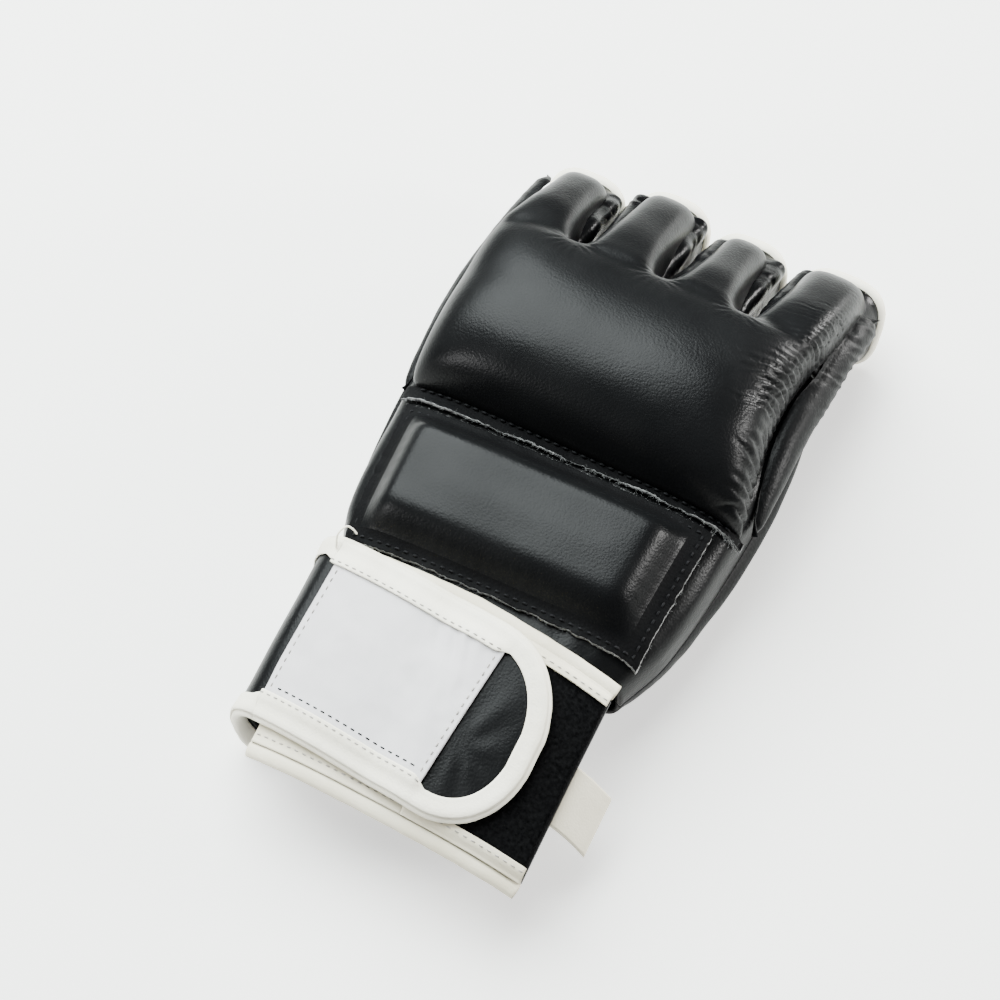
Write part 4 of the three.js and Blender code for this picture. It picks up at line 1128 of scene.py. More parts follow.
def gathers(points):
    """Height of the gathers: sharp valleys with full ridges between, each as long as it happens to be."""
    x, y = points[:, 0], points[:, 1]
    off_seam = row_at(OUTER_SEAM, "y", y)["x"] - x
    ys = np.linspace(0, 100, 400)
    counts = np.concatenate([[0], np.cumsum(0.25 / row_at(GATHERS, "y", ys[1:])["pitch"])])
    run = y + 3.2 * noise_at(points, (0.05, 0.06, 0.05), 3.0) + 0.9 * noise_at(points, 0.2, 4.0)
    phase = np.interp(run + FAN * off_seam, ys, counts)
    count = np.floor(phase).astype(int)
    part = phase - count
    random = np.random.default_rng(5)
    longer = random.uniform(0.35, 1.45, 80)
    deeper = random.uniform(0.25, 1.35, 80)
    row = row_at(GATHERS, "y", y)
    reach = row["reach"] * mix(longer[count], longer[count + 1], smooth(part))
    depth = row["depth"] * mix(deeper[count], deeper[count + 1], smooth(part))
    fade = np.clip(1 - np.maximum(off_seam, 0) / reach, 0, 1) ** 1.2
    ridge = np.sin(np.pi * part) ** 0.6 - 0.72
    small = np.abs(np.sin(np.pi * (phase * 2.7 + 0.8 * noise_at(points, 0.3, 6.0)))) - 0.6
    return (depth * ridge + 0.16 * depth * small) * fade


def pucker(points, normals):
    """Folds of the knuckle pad: gathers along its outer seam, creases at the slots, soft waves."""
    x, y, z = points.T
    amount = gathers(points)
    for slot_x, slot_y in SLOT_ENDS:
        dx, dy = x - slot_x, y - slot_y
        away = np.hypot(dx, dy)
        angle = np.arctan2(dy, dx)
        rays = np.abs(np.sin(angle * 8 + 2.5 * noise_at(points, 0.11, slot_x)))
        amount += 0.28 * (rays**0.6 - 0.75) * bump(away, 5.0, 4.0) * smooth((6 - dy) / 6)
    amount += 0.3 * noise_at(points, 0.03, 51.0) + 0.06 * noise_at(points, 0.1, 57.0)
    above = smooth((z - under_height(x, y) + 1) / 4)
    return points + normals * (amount * above)[:, None]


def build_knuckle_pad():
    shapes = [loft_mesh(knuckle_body())] + [loft_mesh(lobe_rings(i)) for i in range(4)]
    piece = make("knuckle_padding", *joined(shapes), BLACK)
    remesh = piece.modifiers.new("even", "REMESH")
    remesh.mode = "VOXEL"
    remesh.voxel_size = KNUCKLE_VOXEL * MM
    relax = piece.modifiers.new("relax", "SMOOTH")
    relax.factor = 0.5
    relax.iterations = KNUCKLE_RELAXES
    apply_modifiers(piece)
    points = pucker(read_points(piece), read_normals(piece))
    points[:, 2] = np.maximum(points[:, 2], under_height(points[:, 0], points[:, 1]) + GAP)
    write_points(piece, points)
    piece.data.polygons.foreach_set("use_smooth", [True] * len(piece.data.polygons))
    stands_for(piece, "knuckle_pad")


build_knuckle_pad()


# Back pad

FLANGE_EDGE = 0.05  # the flange ends this far inside the foot of the slopes
STITCH_INSET = 2.0
# Pitch, length and radius of the stitches
BLACK_STITCH = (3.0, 2.1, 0.36)
PALE_STITCH = (2.6, 1.7, 0.2)
LABEL_STITCH = (2.6, 1.7, 0.22)


def raw_wave(places, seed, size):
    """How far a hand-cut edge strays from its line."""
    flat = np.stack([places, np.zeros_like(places), np.full_like(places, seed)], -1)
    return size * (noise_at(flat, 0.35, seed) + 0.5 * noise_at(flat, 0.9, seed + 2))


def pad_place(x, y, rise):
    """Where a place of the back pad's own plan comes to lie on the hand."""
    width = BACK_PAD["front"] - BACK_PAD["rear"]
    narrow = 1 - BACK_PAD["taper"] * ((BACK_PAD["front"] - y) / width)
    px = x * narrow
    py = y + BACK_PAD["skew"] * x
    return np.stack([px, py, back_height(px, py) + rise], -1)


def pad_rise(x, y):
    """Height of the bar and its flange, and how far a place is inside the foot of the slopes."""
    inside = (x - BACK_PAD["left"], BACK_PAD["right"] - x, y - BACK_PAD["rear"], BACK_PAD["front"] - y)
    share = np.ones_like(x)
    inner = np.full_like(x, np.inf)
    for off, margin, bevel in zip(inside, BACK_PAD_SLOPES["margin"], BACK_PAD_SLOPES["bevel"]):
        share = share * (1 - (1 - np.clip((off - margin) / bevel, 0, 1)) ** PAD_ROUNDING)
        inner = np.minimum(inner, off - margin)
    dip = 0.4 * bump(inner, -1.2, 0.8)
    return BACK_PAD_FLANGE + BACK_PAD_HEIGHT * share + 0.5 * smooth((inner - 10) / 12) - dip, inner


def soften(values, passes):
    """A grid of numbers with each averaged with its neighbours, again and again."""
    for _ in range(passes):
        wide = np.pad(values, 1, "edge")
        values = (wide[:-2, 1:-1] + values + wide[2:, 1:-1]) / 3
        wide = np.pad(values, 1, "edge")
        values = (wide[1:-1, :-2] + values + wide[1:-1, 2:]) / 3
    return values


def build_back_pad():
    xs = np.linspace(BACK_PAD["left"], BACK_PAD["right"], 236)
    ys = np.linspace(BACK_PAD["rear"], BACK_PAD["front"], 122)
    x, y = np.meshgrid(xs, ys)
    rise, inner = pad_rise(x, y)
    rise = soften(rise, 34)
    flat = np.stack([x, y, np.zeros_like(x)], -1)
    # Gathers where the bar's cover meets the flange
    along = np.where(np.abs(y - (ys[0] + ys[-1]) / 2) > 14, x, y)
    gather = np.sin(2 * np.pi * (along + 2 * noise_at(flat, 0.06, 61.0)) / 4.5)
    rise += 0.05 * gather * bump(inner, 2.5, 3.0) * (0.5 + noise_at(flat, 0.07, 63.0))
    rise += 0.22 * noise_at(flat, 0.05, 67.0) * smooth(inner / 6)
    rim = 1 - smooth(np.minimum.reduce([x - xs[0], xs[-1] - x, y - ys[0], ys[-1] - y]) / 3.0)
    rise += 0.45 * rim * noise_at(flat, 0.18, 71.0)
    top = pad_place(x, y, rise)
    top[..., 0] += rim * (np.where(x < 0, -0.3, 0.3) + raw_wave(y, 3.0, 0.45) * (np.abs(x) > 47))
    top[..., 1] += rim * raw_wave(x, 5.0, 0.45) * ((y > ys[-1] - 3.5) | (y < ys[0] + 3.5))
    under = top.copy()
    under[..., 2] = back_height(top[..., 0], top[..., 1]) + GAP
    piece = make("back_padding", *wall_mesh(top, under), BLACK)
    mark_raw(piece, top.shape[0] * top.shape[1])
    piece.data.materials.append(MATTE)
    for polygon, inside in zip(piece.data.polygons, inner[:-1, :-1].ravel()):
        if inside < FLANGE_EDGE:
            polygon.material_index = 2
    stands_for(piece, "back_pad")
    border = np.concatenate([top[0], top[:, -1], top[-1, ::-1]])
    middle = top.reshape(-1, 3).mean(axis=0)
    away = unit(border - middle) + np.array([0, 0, 0.7])
    fray("back_pad_fibres", border + np.array([0, 0, -0.4]), away, 800, 21, 0.9)


def mark_raw(piece, n):
    """The faces between a sheet's two sides, of n points each, get the raw edge's material."""
    piece.data.materials.append(RAW_EDGE)
    for polygon in piece.data.polygons:
        if min(polygon.vertices) < n <= max(polygon.vertices):
            polygon.material_index = 1


build_back_pad()


def pad_stitches():
    """Stitch rows along the back pad's flange, all the way round."""
    left, right = BACK_PAD["left"] + STITCH_INSET, BACK_PAD["right"] - STITCH_INSET
    rear, front = BACK_PAD["rear"] + STITCH_INSET, BACK_PAD["front"] - STITCH_INSET
    across = np.linspace(left, right, 80)
    along = np.linspace(rear, front, 40)
    x = np.concatenate([across, np.full(40, right), across[::-1], np.full(40, left)])
    y = np.concatenate([np.full(80, rear), along, np.full(80, front), along[::-1]])
    path = pad_place(x, y, pad_rise(x, y)[0] + 0.1)
    up = np.tile([0.0, 0.0, 1.0], (len(path), 1))
    stitches("back_pad_stitches", path, up, *BLACK_STITCH, BLACK_THREAD)


pad_stitches()


# Seam allowance between the knuckle pad and the back pad: a raw leather edge with its stitches


def build_seam_edge():
    xs = np.linspace(-54.5, 59.5, 320)
    on_hand = np.clip(xs, -55.5, 58.3)
    rows = 12
    rear_y = -2.6 + 0.02 * xs + raw_wave(xs, 9.0, 0.5)
    grid = np.empty((rows, len(xs), 3))
    for n, t in enumerate(np.linspace(0, 1, rows)):
        y = mix(rear_y, 1.2, t)
        curl = 1.1 * (1 - t) ** 2 * (0.6 + noise_at(np.stack([xs, y, 0 * xs], -1), 0.12, 81.0))
        grid[n] = np.stack([xs, y, back_height(on_hand, y) + 0.9 + curl], -1)
    half_wall = turned(grid_normals(grid), (5, 200)) * 0.5
    piece = make("knuckle_seam_edge", *wall_mesh(grid + half_wall, grid - half_wall), MATTE)
    mark_raw(piece, rows * len(xs))
    path = np.stack([xs, np.full_like(xs, 0.3), back_height(on_hand, 0 * xs) + 2.0], -1)[12:-12]
    up = np.tile([0.0, -0.3, 1.0], (len(path), 1))
    stitches("knuckle_seam_stitches", path, up, *BLACK_STITCH, BLACK_THREAD)
    away = np.tile([0.0, -0.8, 0.7], (len(xs), 1))
    fray("knuckle_seam_fibres", grid[0], away, 900, 15)
    fray("knuckle_seam_tuft", grid[0, -24:], away[-24:], 160, 17, 2.6)


build_seam_edge()

LOOSE_THREAD = table(
    "t x y z",
    (0, -46.6, -58.8, 45),
    (1, -47.4, -56, 48),
    (2, -46.2, -53, 48.8),
    (3, -44.4, -52.4, 47.8),
    (4, -42.8, -52.8, 46.6),
)


def build_loose_thread():
    """The white thread end that stands up between the back pad and the strap."""
    places = row_at(LOOSE_THREAD, "t", np.linspace(0, 4, 40))
    curve = evenly(np.stack([places[k] for k in ("x", "y", "z")], 1), 40)
    run = unit(np.gradient(curve, axis=0))
    side = unit(np.cross(run, [0.3, 0.2, 1.0]))
    rings = roll_rings((curve, side, np.cross(side, run)), (0.32, 0.28), 8)
    make("loose_white_thread", *loft_mesh(rings), WHITE)


build_loose_thread()


# Thumb


def thumb_height(share, level):
    return level + THUMB_INNER_RISE * smooth((share - 0.35) / 0.65)


def thumb_grid(rows, columns):
    ys = np.linspace(-50, 59.5, rows)
    row = row_at(THUMB, "y", ys)
    share = np.linspace(-1, 1, columns)
    x = row["middle"][:, None] + row["half"][:, None] * share
    y = np.repeat(ys[:, None], columns, axis=1)
    ceiling = palm_height(x, y) - THUMB_WALL - 3 * GAP
    z = np.minimum(thumb_height(share[None, :], row["level"][:, None]), ceiling)
    return np.stack([x, y, z], -1)


def build_thumb_panel():
    grid = thumb_grid(120, 44)
    raised = grid.copy()
    raised[..., 2] += THUMB_WALL + 0.15 * noise_at(grid, 0.12, 91.0) - 0.15
    piece = make("thumb_leather", *wall_mesh(raised, grid), SOFT_BLACK)
    mark_raw(piece, grid.shape[0] * grid.shape[1])
    stands_for(piece, "thumb_panel")


def build_thumb_pad():
    rear, front, power = THUMB_PAD["rear"], THUMB_PAD["front"], THUMB_PAD["power"]
    s = np.linspace(-1, 1, 150)
    ys = (rear + front) / 2 + (front - rear) / 2 * np.sign(s) * np.abs(s) ** 0.7
    row = row_at(THUMB, "y", ys)
    end = superellipse((ys - (rear + front) / 2) / ((front - rear) / 2 + 0.2), 5)
    half = np.maximum(row["half"] - THUMB_PAD["margin"], 2) * (0.4 + 0.6 * end)
    middle = row["middle"] - 1.2
    level_mid = thumb_height((middle - row["middle"]) / row["half"], row["level"])
    deep = level_mid - GAP - mix(row["level"] - 2, 0, np.clip(end * 1.15, 0, 1))
    across, sink = power_arc(np.linspace(-90, 90, 61), power)
    x = middle[:, None] + half[:, None] * across
    level = thumb_height((x - row["middle"][:, None]) / row["half"][:, None], row["level"][:, None]) - GAP
    z = level + (level_mid - GAP - deep)[:, None] * sink - level * sink
    arc = np.stack([x, np.repeat(ys[:, None], 61, 1), z], -1)
    wrinkle = 0.18 * noise_at(arc, (0.12, 0.05, 0.1), 95.0) * sink
    arc[..., 2] += np.abs(wrinkle)
    lid_share = np.linspace(1, -1, 12)[1:-1]
    lid_x = middle[:, None] + half[:, None] * lid_share
    lid_z = thumb_height((lid_x - row["middle"][:, None]) / row["half"][:, None], row["level"][:, None]) - GAP
    lid = np.stack([lid_x, np.repeat(ys[:, None], 10, 1), lid_z], -1)
    piece = make("thumb_padding", *loft_mesh(np.concatenate([arc, lid], axis=1)), SOFT_BLACK)
    stands_for(piece, "thumb_pad")


build_thumb_panel()
build_thumb_pad()


def band_grid(rows, columns):
    ys = np.linspace(THUMB_BAND["rear"], THUMB_BAND["front"], rows)
    t = np.linspace(0, 1, columns)[:, None]
    out = []
    for y in ys:
        row = row_at(THUMB, "y", y)
        foot = row["middle"] - row["half"] + 1.5
        low = np.array([foot, y, row["level"] + THUMB_WALL + THUMB_BAND["seat"]])
        top = hand_at(y)["left"] + 2.5
        high = np.array([top, y, palm_height(top, y) - THUMB_BAND["seat"] - THUMB_BAND["wall"] / 2])
        side = np.array([min(low[0], high[0]) - 6.5, y, (low[2] + high[2]) / 2])
        out.append((1 - t) ** 2 * low + 2 * t * (1 - t) * side + t**2 * high)
    return np.array(out)


def build_thumb_band():
    grid = band_grid(60, 40)
    normals = grid_normals(grid)
    wave = 0.25 * noise_at(grid, 0.16, 101.0)[..., None]
    walls = wall_mesh(grid + normals * (wave + 0.9), grid + normals * (wave - 0.9))
    stands_for(make("thumb_band_leather", *walls, SOFT_BLACK), "thumb_band")
    for side, edge, inside in (("front", grid[-1], grid[-4]), ("rear", grid[0], grid[3])):
        frames = edge_frames(edge, inside, THUMB_ROLL[0] + GAP)
        name, node = f"thumb_{side}_edge", f"thumb_{side}_binding"
        edge_roll(name, node, frames, THUMB_ROLL, 20, WHITE, 0.97, 0.06, 0.4, 7.0)


build_thumb_band()


def build_thumb_edge():
    rows = THUMB["y"][(THUMB["y"] > -46) & (THUMB["y"] < 24)]
    ys = np.linspace(rows[0], rows[-1], 120)
    row = row_at(THUMB, "y", ys)
    x = row["middle"] - row["half"]
    edge = np.stack([x, ys, row["level"] + THUMB_WALL / 2], 1)
    frames = edge_frames(edge, edge + np.array([2.0, 0, 0]), EDGE_ROLL[0] + GAP)
    name, node = "thumb_panel_edge", "thumb_edge_binding"
    edge_roll(name, node, frames, EDGE_ROLL, 16, WHITE, 0.96, 0.08, 0.4, 9.0)


build_thumb_edge()


# Wrist


# Tapes: places across (outwards of the edge) and heights over it, also where they lie low
FLAP_TAPE = table("u height low", (-3.2, 2.5, 2.5), (-1.2, 2.3, 2.3), (0.2, 1.1, 1.1), (1.2, 0.75, 0.75))
FLAP_FACING = table("u height low", (-9, 0.25, 0.25), (-1.2, 0.25, 0.25), (0.2, 0.45, 0.45), (1.2, 0.6, 0.6))
STRAP_TAPE = table(
    "u height low",
    (-3.4, 4.15, 2.7),
    (-1.2, 4.05, 2.75),
    (0.6, 3.4, 2.9),
    (2.2, 3.2, 3.15),
    (3.6, 3.2, 3.2),
    (4.6, 2.9, 2.9),
)
TAPE_LOW_REACH = 0.8
FLAP_TAPE_FROM = -20.0


def build_tape(name, edge, inwards, normals, rows, material, thread_at, wall, low):
    """A flat tape sewn over a sheet's edge: rows maps places across it to heights over the edge.

    Where low is 1 there is nothing under the tape but the sheet, and it is narrower and lower.
    """
    across = np.linspace(rows["u"][0], rows["u"][-1], 16)
    row = row_at(rows, "u", across)
    ripple = 0.12 * noise_at(edge, 0.14, 17.0) + 0.08 * noise_at(edge, 0.45, 19.0)
    place = mix(across[:, None], np.maximum(across, -TAPE_LOW_REACH * (across < 0))[:, None], low[None, :])
    high = mix(row["height"][:, None], row["low"][:, None], low[None, :]) + ripple[None, :]
    grid = edge[None] - inwards[None] * place[..., None] + normals[None] * high[..., None]
    faces_up = grid_normals(grid)
    if np.mean(np.sum(faces_up * normals[None], axis=-1)) < 0:
        faces_up = -faces_up
    walls = wall_mesh(grid + faces_up * wall / 2, grid - faces_up * wall / 2)
    make(name, *walls, material)
    n = int(np.argmin(np.abs(across - thread_at)))
    sewn = low < 0.5
    line = (grid[n] + faces_up[n] * wall / 2)[sewn]
    breaks = np.flatnonzero(np.linalg.norm(np.diff(line, axis=0), axis=1) > 6) + 1
    for part, chosen in enumerate(np.split(np.arange(len(line)), breaks)):
        if len(chosen) > 10:
            ups = faces_up[n][sewn][chosen]
            # The grey of this thread is painted shade along the stitch dashes on the pale tape
            thread = stitches(f"{name}_stitches_{part + 1}", line[chosen], ups, *PALE_STITCH, SHADE_GREY_THREAD)


def flap_front(x):
    return FLAP["front"] - FLAP["front_fall"] * np.maximum(x, 0)


def flap_rear(x):
    return FLAP["rear"] - FLAP["rear_fall"] * x


def wrist_grid(xs, front, rear, rows, lift):
    v = np.linspace(0, 1, rows)[:, None]
    y = mix(rear(xs)[None, :], front(xs)[None, :], v)
    x = np.repeat(xs[None, :], rows, axis=0)
    return np.stack([x, y, wrist_height(x, y) + lift], -1)


flap_xs = np.linspace(FLAP["left"], FLAP["right"], 120)


def build_flap():
    under = wrist_grid(flap_xs, flap_front, flap_rear, 60, 0.0)
    over = under + np.array([0, 0, FLAP_WALL])
    over[..., 2] += 0.12 * noise_at(under, 0.1, 111.0) - 0.1
    flap = make("wrist_flap_leather", *wall_mesh(over, under), SOFT_BLACK)
    stands_for(flap, "wrist_flap")
    middle = wrist_grid(flap_xs, flap_front, flap_rear, 40, FLAP_WALL / 2)
    for name, node, edge, inside in (
        ("flap_front_edge", "flap_top_binding", middle[-1], middle[-4]),
        ("flap_rear_edge", "flap_bottom_binding", middle[0], middle[3]),
    ):
        frames = edge_frames(edge, inside, FLAP_ROLL[0] + GAP)
        edge_roll(name, node, frames, FLAP_ROLL, 18, CREAM, 0.97, 0.05, 0.25, 13.0)
    for name, edge, inside, span, rows, wall in (
        ("flap_front_tape", over[-1], over[-4], flap_xs > FLAP_TAPE_FROM, FLAP_TAPE, 0.7),
        ("flap_rear_tape", over[0], over[3], flap_xs > PILE["left"] - 1, FLAP_TAPE, 0.7),
        ("flap_rear_facing", over[0], over[3], flap_xs < PILE["left"], FLAP_FACING, 0.4),
    ):
        inwards = unit(inside - edge)[span]
        normals = np.tile([0.0, 0.0, 1.0], (len(inwards), 1))
        build_tape(name, edge[span], inwards, normals, rows, CREAM, -1.6, wall, np.zeros(len(inwards)))


build_flap()

PILE_FIBRES = 3000
PILE_BARE_FROM = 18.0  # the strap covers the pile to the left of this


def build_pile():
    xs = np.linspace(PILE["left"], PILE["right"], 80)

    def front(x):
        return flap_front(x) - PILE["inset"]

    def rear(x):
        return flap_rear(x) + PILE["inset"]

    under = wrist_grid(xs, front, rear, 120, FLAP_WALL + GAP)
    over = under + np.array([0, 0, PILE_WALL - 0.3])
    over[..., 2] += 0.25 * noise_at(under, 1.1, 121.0)
    cloth = make("loop_pile_cloth", *wall_mesh(over, under), PILE_CLOTH)
    stands_for(cloth, "loop_patch")
    random = np.random.default_rng(7)
    count = PILE_FIBRES
    px = random.uniform(PILE_BARE_FROM, PILE["right"], count)
    px[::6] = PILE["right"] - random.uniform(0, 0.8, len(px[::6]))
    v = random.uniform(0, 1, count)
    py = mix(rear(px), front(px), v)
    roots = np.stack([px, py, wrist_height(px, py) + FLAP_WALL + GAP + PILE_WALL - 0.5], 1)
    directions = np.stack([random.normal(0, 0.7, count), random.normal(0, 0.7, count), np.ones(count)], 1)
    lengths = random.uniform(0.5, 1.1, count)
    hair = strands("loop_pile_fibres", roots, directions, lengths, 0.07, PILE_CLOTH, 8, curl=0.6)


build_pile()


def strap_lift(x):
    on_flap = FLAP_WALL / 2 + FLAP_ROLL[1] + GAP + STRAP_ROLL[1] - STRAP_WALL / 2
    on_pile = FLAP_WALL + GAP + PILE_WALL + GAP + STRAP_ROLL[1] - STRAP_WALL / 2
    return mix(on_flap, on_pile + GAP, smooth((x - PILE["left"] + 16) / 14))


def strap_shift(x):
    return -STRAP["fall"] * np.maximum(x - STRAP["turn"], 0)


def strap_narrowing(x):
    return superellipse(np.maximum(x - (STRAP["tip"] - STRAP_TIP_ROUND), 0) / (STRAP_TIP_ROUND + 0.3), 2.2)


def strap_grid(top_xs, rows, side_count=60, under_count=90):
    """The strap's inner face: over the wrist to the thumb side, round it, and back on the floor."""
    middle = (STRAP["front"] + STRAP["rear"]) / 2
    half = (STRAP["front"] - STRAP["rear"]) / 2
    out = []
    for v in np.linspace(-1, 1, rows):
        y = middle + half * v * strap_narrowing(top_xs) + strap_shift(top_xs)
        over = np.stack([top_xs, y, wrist_height(top_xs, y) + strap_lift(top_xs)], 1)
        y = middle + half * v
        high = wrist_height(STRAP["turn"], y) + strap_lift(STRAP["turn"])
        degrees = np.radians(np.linspace(0, 180, side_count)[1:])
        bulge = np.sin(degrees) ** 0.85 * (STRAP["turn"] - STRAP["side"] - STRAP_WALL)
        level = mix(STRAP_WALL, high, (1 + np.cos(degrees)) / 2)
        side = np.stack([STRAP["turn"] - bulge, np.full_like(degrees, y), level], 1)
        xs = np.linspace(STRAP["turn"], STRAP["root"], under_count)[1:]
        under = np.stack([xs, np.full_like(xs, y), np.full_like(xs, STRAP_WALL)], 1)
        out.append(np.concatenate([over, side, under]))
    return np.array(out)


TIP_PLACES = np.sin(np.linspace(0, np.pi / 2, 60)) * STRAP_TIP_ROUND
strap_xs = np.concatenate(
    [STRAP["tip"] - STRAP_TIP_ROUND + TIP_PLACES[::-1][:-1], np.linspace(11, STRAP["turn"], 140)]
)
strap_inner = strap_grid(strap_xs, 56)
strap_normals = turned(grid_normals(strap_inner), (28, 100))


def strap_puffs(grid):
    """The strap's slight pillow, with soft folds between the label and the rounded tip."""
    x, y = grid[..., 0], grid[..., 1]
    top = grid[..., 2] > 20
    away = np.hypot(x - 14, y + 96)
    rays = np.sin(np.arctan2(y + 96, x - 14) * 7 + 2 * noise_at(grid, 0.06, 131.0))
    folds = 0.14 * rays * bump(x, 19, 7) * smooth((away - 3) / 6)
    return (folds + 0.25 * noise_at(grid, 0.06, 133.0)) * top


def strap_border(face, rows_in=0, columns_in=0):
    """The strap's edge from the rear of its thumb side round the tip, or a line further in."""
    reach = len(strap_xs) + 52
    rear, front = face[rows_in, :reach][::-1], face[-1 - rows_in, :reach]
    return np.concatenate([rear, face[1:-1, columns_in], front])


def build_strap():
    outer = strap_inner + strap_normals * (STRAP_WALL - 0.2 + strap_puffs(strap_inner))[..., None]
    outer[..., 2] = np.maximum(outer[..., 2], 0.0)
    piece = make("strap_leather", *wall_mesh(outer, strap_inner), BLACK)
    stands_for(piece, "strap")
    middle_face = strap_inner + strap_normals * STRAP_WALL / 2
    edge = strap_border(middle_face)
    inside = strap_border(middle_face, 3, 4)
    along = over_window(edge_frames(edge, inside, 0.0)[1], 4, np.mean)
    run = unit(np.gradient(edge, axis=0))
    along = unit(along - run * np.sum(along * run, axis=1, keepdims=True))
    frames = (edge + along * (STRAP_ROLL[0] + GAP), along, unit(np.cross(run, along)))
    edge_roll("strap_edge", "strap_binding", frames, STRAP_ROLL, 20, WHITE, 0.97, 0.05, 0.2, 137.0)
    normals = strap_border(strap_normals)
    base = edge - normals * STRAP_WALL / 2
    x = base[:, 0]
    right = np.where(base[:, 1] > np.mean(base[:, 1]), LABEL["right_front"], LABEL["right_rear"])
    low = np.maximum(smooth((x - right) / 6 + 0.5), smooth((LABEL["left_rear"] + 1 - x) / 4))
    build_tape("strap_tape", base, -along, normals, STRAP_TAPE, WHITE, -2.1, 0.7, low)


build_strap()


def build_label():
    face = strap_inner + strap_normals * (STRAP_WALL + GAP)
    margin = LABEL["inset"] / (STRAP["front"] - STRAP["rear"])
    shares = np.linspace(margin, 1 - margin, 84)
    rows = shares * (face.shape[0] - 1)
    low = np.floor(rows).astype(int).clip(0, face.shape[0] - 2)
    part = (rows - low)[:, None, None]
    lines = face[low] * (1 - part) + face[low + 1] * part
    grid = []
    for share, line in zip(shares, lines):
        right = mix(LABEL["right_rear"], LABEL["right_front"], share)
        left = mix(LABEL["left_rear"], LABEL["left_front"], share)
        places = np.interp(-np.linspace(right, left, 100), -strap_xs, np.arange(len(strap_xs)))
        grid.append(points_at(places, np.arange(len(line)), line))
    grid = np.array(grid)
    normals = turned(grid_normals(grid), (50, 30))
    x, y = grid[..., 0], grid[..., 1]
    lines = np.sin((x + 0.35 * y) / 0.95 + 2.2 * noise_at(grid, (0.06, 0.04, 0.06), 145.0))
    folds = 0.3 * lines * bump(x, 2, 9) * smooth((y + 95) / 12) * (0.5 + noise_at(grid, 0.07, 147.0))
    ripple = 0.3 * noise_at(grid, (0.05, 0.12, 0.05), 141.0) + 0.12 * noise_at(grid, 0.2, 143.0) + folds
    outer = grid + normals * (LABEL_WALL - 0.15 + ripple)[..., None]
    piece = make("label_cloth", *wall_mesh(outer, grid), SATIN)
    stands_for(piece, "label_panel")
    for name, line, ups, thread_material in (
        ("label_rear_stitches", outer[8], normals[8], BLACK_THREAD),
        # The grey thread of these two rows is painted shade along the stitch dashes
        ("label_tip_stitches", outer[:, 3], normals[:, 3], SHADE_GREY_THREAD),
        ("label_side_stitches", outer[:, -4], normals[:, -4], SHADE_GREY_THREAD),
    ):
        thread = stitches(name, line[6:-6], ups[6:-6], *LABEL_STITCH, thread_material)


build_label()


def build_tab():
    xs = np.linspace(TAB["root"], TAB["tip"], 50)
    ys = np.linspace(TAB["rear"], TAB["front"], 30)
    x, y = np.meshgrid(xs, ys)
    free = np.maximum(x - TAB["free"], 0) / (TAB["tip"] - TAB["free"])
    z = wrist_height(x, y) - GAP - TAB["droop"] * free**2
    over = np.stack([x, y, z], -1)
    walls = wall_mesh(over, over - np.array([0, 0, TAB["wall"]]))
    stands_for(make("pull_tab_leather", *walls, CREAM), "pull_tab")


build_tab()


# Stage: floor, lights and camera

WORLD_STRENGTH = 0.08
FLOOR_RADIUS = 0.34  # a round table top in a dark room
FLOOR_GLOW = 0.95  # it is lit from below a little, which lifts it towards the photograph's white


def build_stage():
    material, _, _, shader = new_material("pale_floor")
    shader.inputs["Base Color"].default_value = (0.6, 0.595, 0.57, 1)
    shader.inputs["Roughness"].default_value = 0.8
    shader.inputs["Specular IOR Level"].default_value = 0.1
    shader.inputs["Emission Color"].default_value = (1.0, 0.998, 0.99, 1)
    shader.inputs["Emission Strength"].default_value = FLOOR_GLOW
    angle = np.linspace(0, 2 * np.pi, 64, endpoint=False)
    rim = FLOOR_RADIUS * np.stack([np.cos(angle), np.sin(angle), 0 * angle], 1)
    mesh = bpy.data.meshes.new("floor")
    mesh.from_pydata(rim.tolist(), [], [list(range(len(rim)))])
    mesh.materials.append(material)
    floor = bpy.data.objects.new("floor", mesh)
    bpy.context.scene.collection.objects.link(floor)
    world = bpy.data.worlds.new("studio")
    world.use_nodes = True
    world.node_tree.nodes["Background"].inputs["Color"].default_value = (1, 1, 1, 1)
    world.node_tree.nodes["Background"].inputs["Strength"].default_value = WORLD_STRENGTH
    bpy.context.scene.world = world


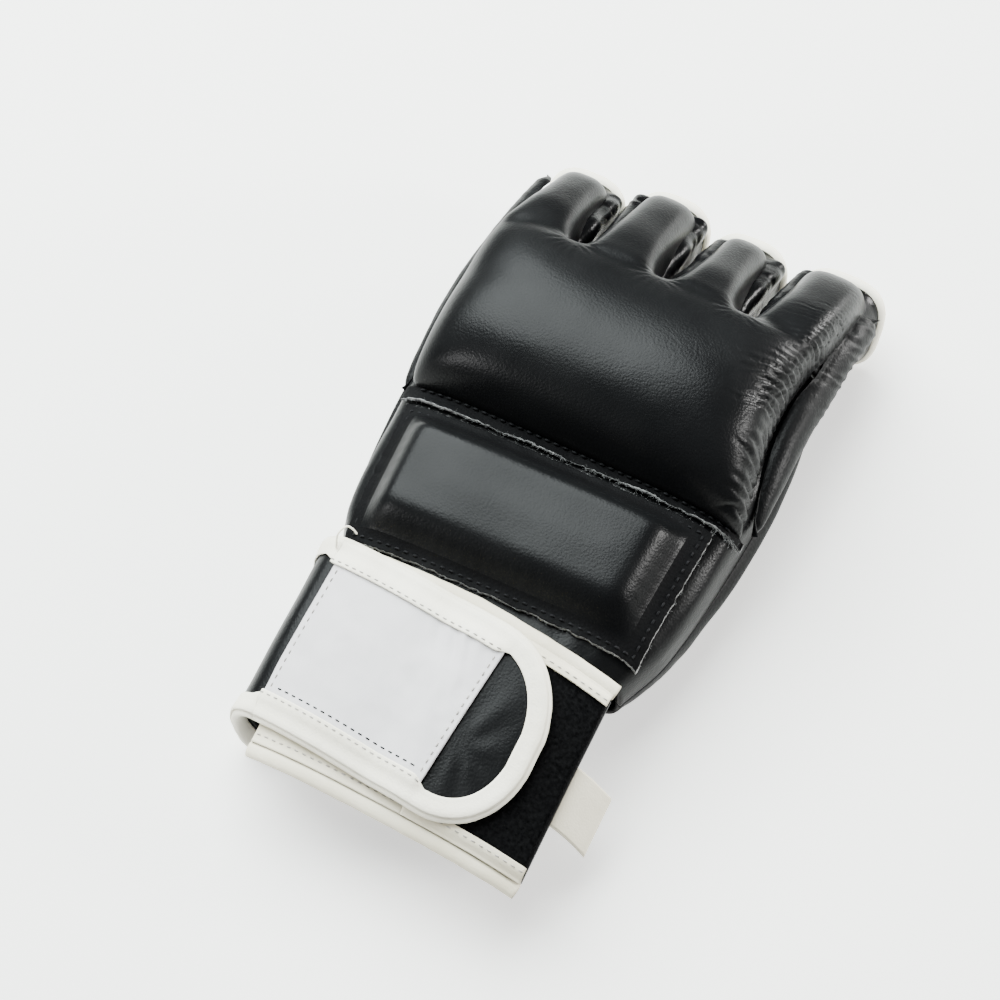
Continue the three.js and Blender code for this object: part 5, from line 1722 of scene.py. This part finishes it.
# Soft lights: place in metres, width, height, radiance and colour; each looks at the glove
LIGHTS = (
    ("overhead", (-0.6, 0.42, 1.12), 1.4, 1.4, 25.0, (0.93, 1.0, 1.0)),
    ("right_window", (1.1, 0.45, 0.42), 0.24, 0.24, 130.0, (1.0, 0.99, 0.97)),
    ("far_window", (0.62, 1.0, 0.16), 0.3, 0.2, 110.0, (1.0, 0.99, 0.97)),
    ("left_lamp", (-0.75, -0.9, 0.5), 0.22, 0.22, 75.0, (1.0, 1.0, 1.0)),
)


def build_lights():
    for name, place, width, height, radiance, colour in LIGHTS:
        data = bpy.data.lights.new(name, "AREA")
        data.shape = "RECTANGLE"
        data.size = width
        data.size_y = height
        data.energy = radiance * math.pi * width * height
        data.color = colour
        light = bpy.data.objects.new(name, data)
        light.location = place
        aim = Vector((0, 0, 0.04)) - Vector(place)
        light.rotation_euler = aim.to_track_quat("-Z", "Y").to_euler()
        bpy.context.scene.collection.objects.link(light)


# Camera worked out from the photograph: angles in degrees, lengths in pattern millimetres
CAMERA = {"azimuth": 28.034, "elevation": 62.619, "roll": -0.878, "distance": 759.8, "focal_px": 2500.0}
CAMERA_TARGET = np.array([-13.015, -18.098, 35.0])
IMAGE_SIZE = 1000.0
SENSOR = 36.0


def build_camera():
    azimuth = math.radians(CAMERA["azimuth"])
    elevation = math.radians(CAMERA["elevation"])
    roll = math.radians(CAMERA["roll"])
    back = np.array(
        [
            math.sin(azimuth) * math.cos(elevation),
            -math.cos(azimuth) * math.cos(elevation),
            math.sin(elevation),
        ]
    )
    right = unit(np.cross(-back, [0, 0, 1.0]))
    up = np.cross(back, right)
    right, up = (
        math.cos(roll) * right + math.sin(roll) * up,
        -math.sin(roll) * right + math.cos(roll) * up,
    )
    place = (CAMERA_TARGET + SHIFT + back * CAMERA["distance"]) * MM
    data = bpy.data.cameras.new("photo_camera")
    data.sensor_width = SENSOR
    data.lens = CAMERA["focal_px"] / IMAGE_SIZE * SENSOR
    data.clip_start = 0.01
    camera = bpy.data.objects.new("photo_camera", data)
    turn = Matrix((right.tolist(), up.tolist(), back.tolist())).transposed()
    camera.matrix_world = Matrix.Translation(place.tolist()) @ turn.to_4x4()
    bpy.context.scene.collection.objects.link(camera)
    bpy.context.scene.camera = camera


build_stage()
build_lights()
build_camera()
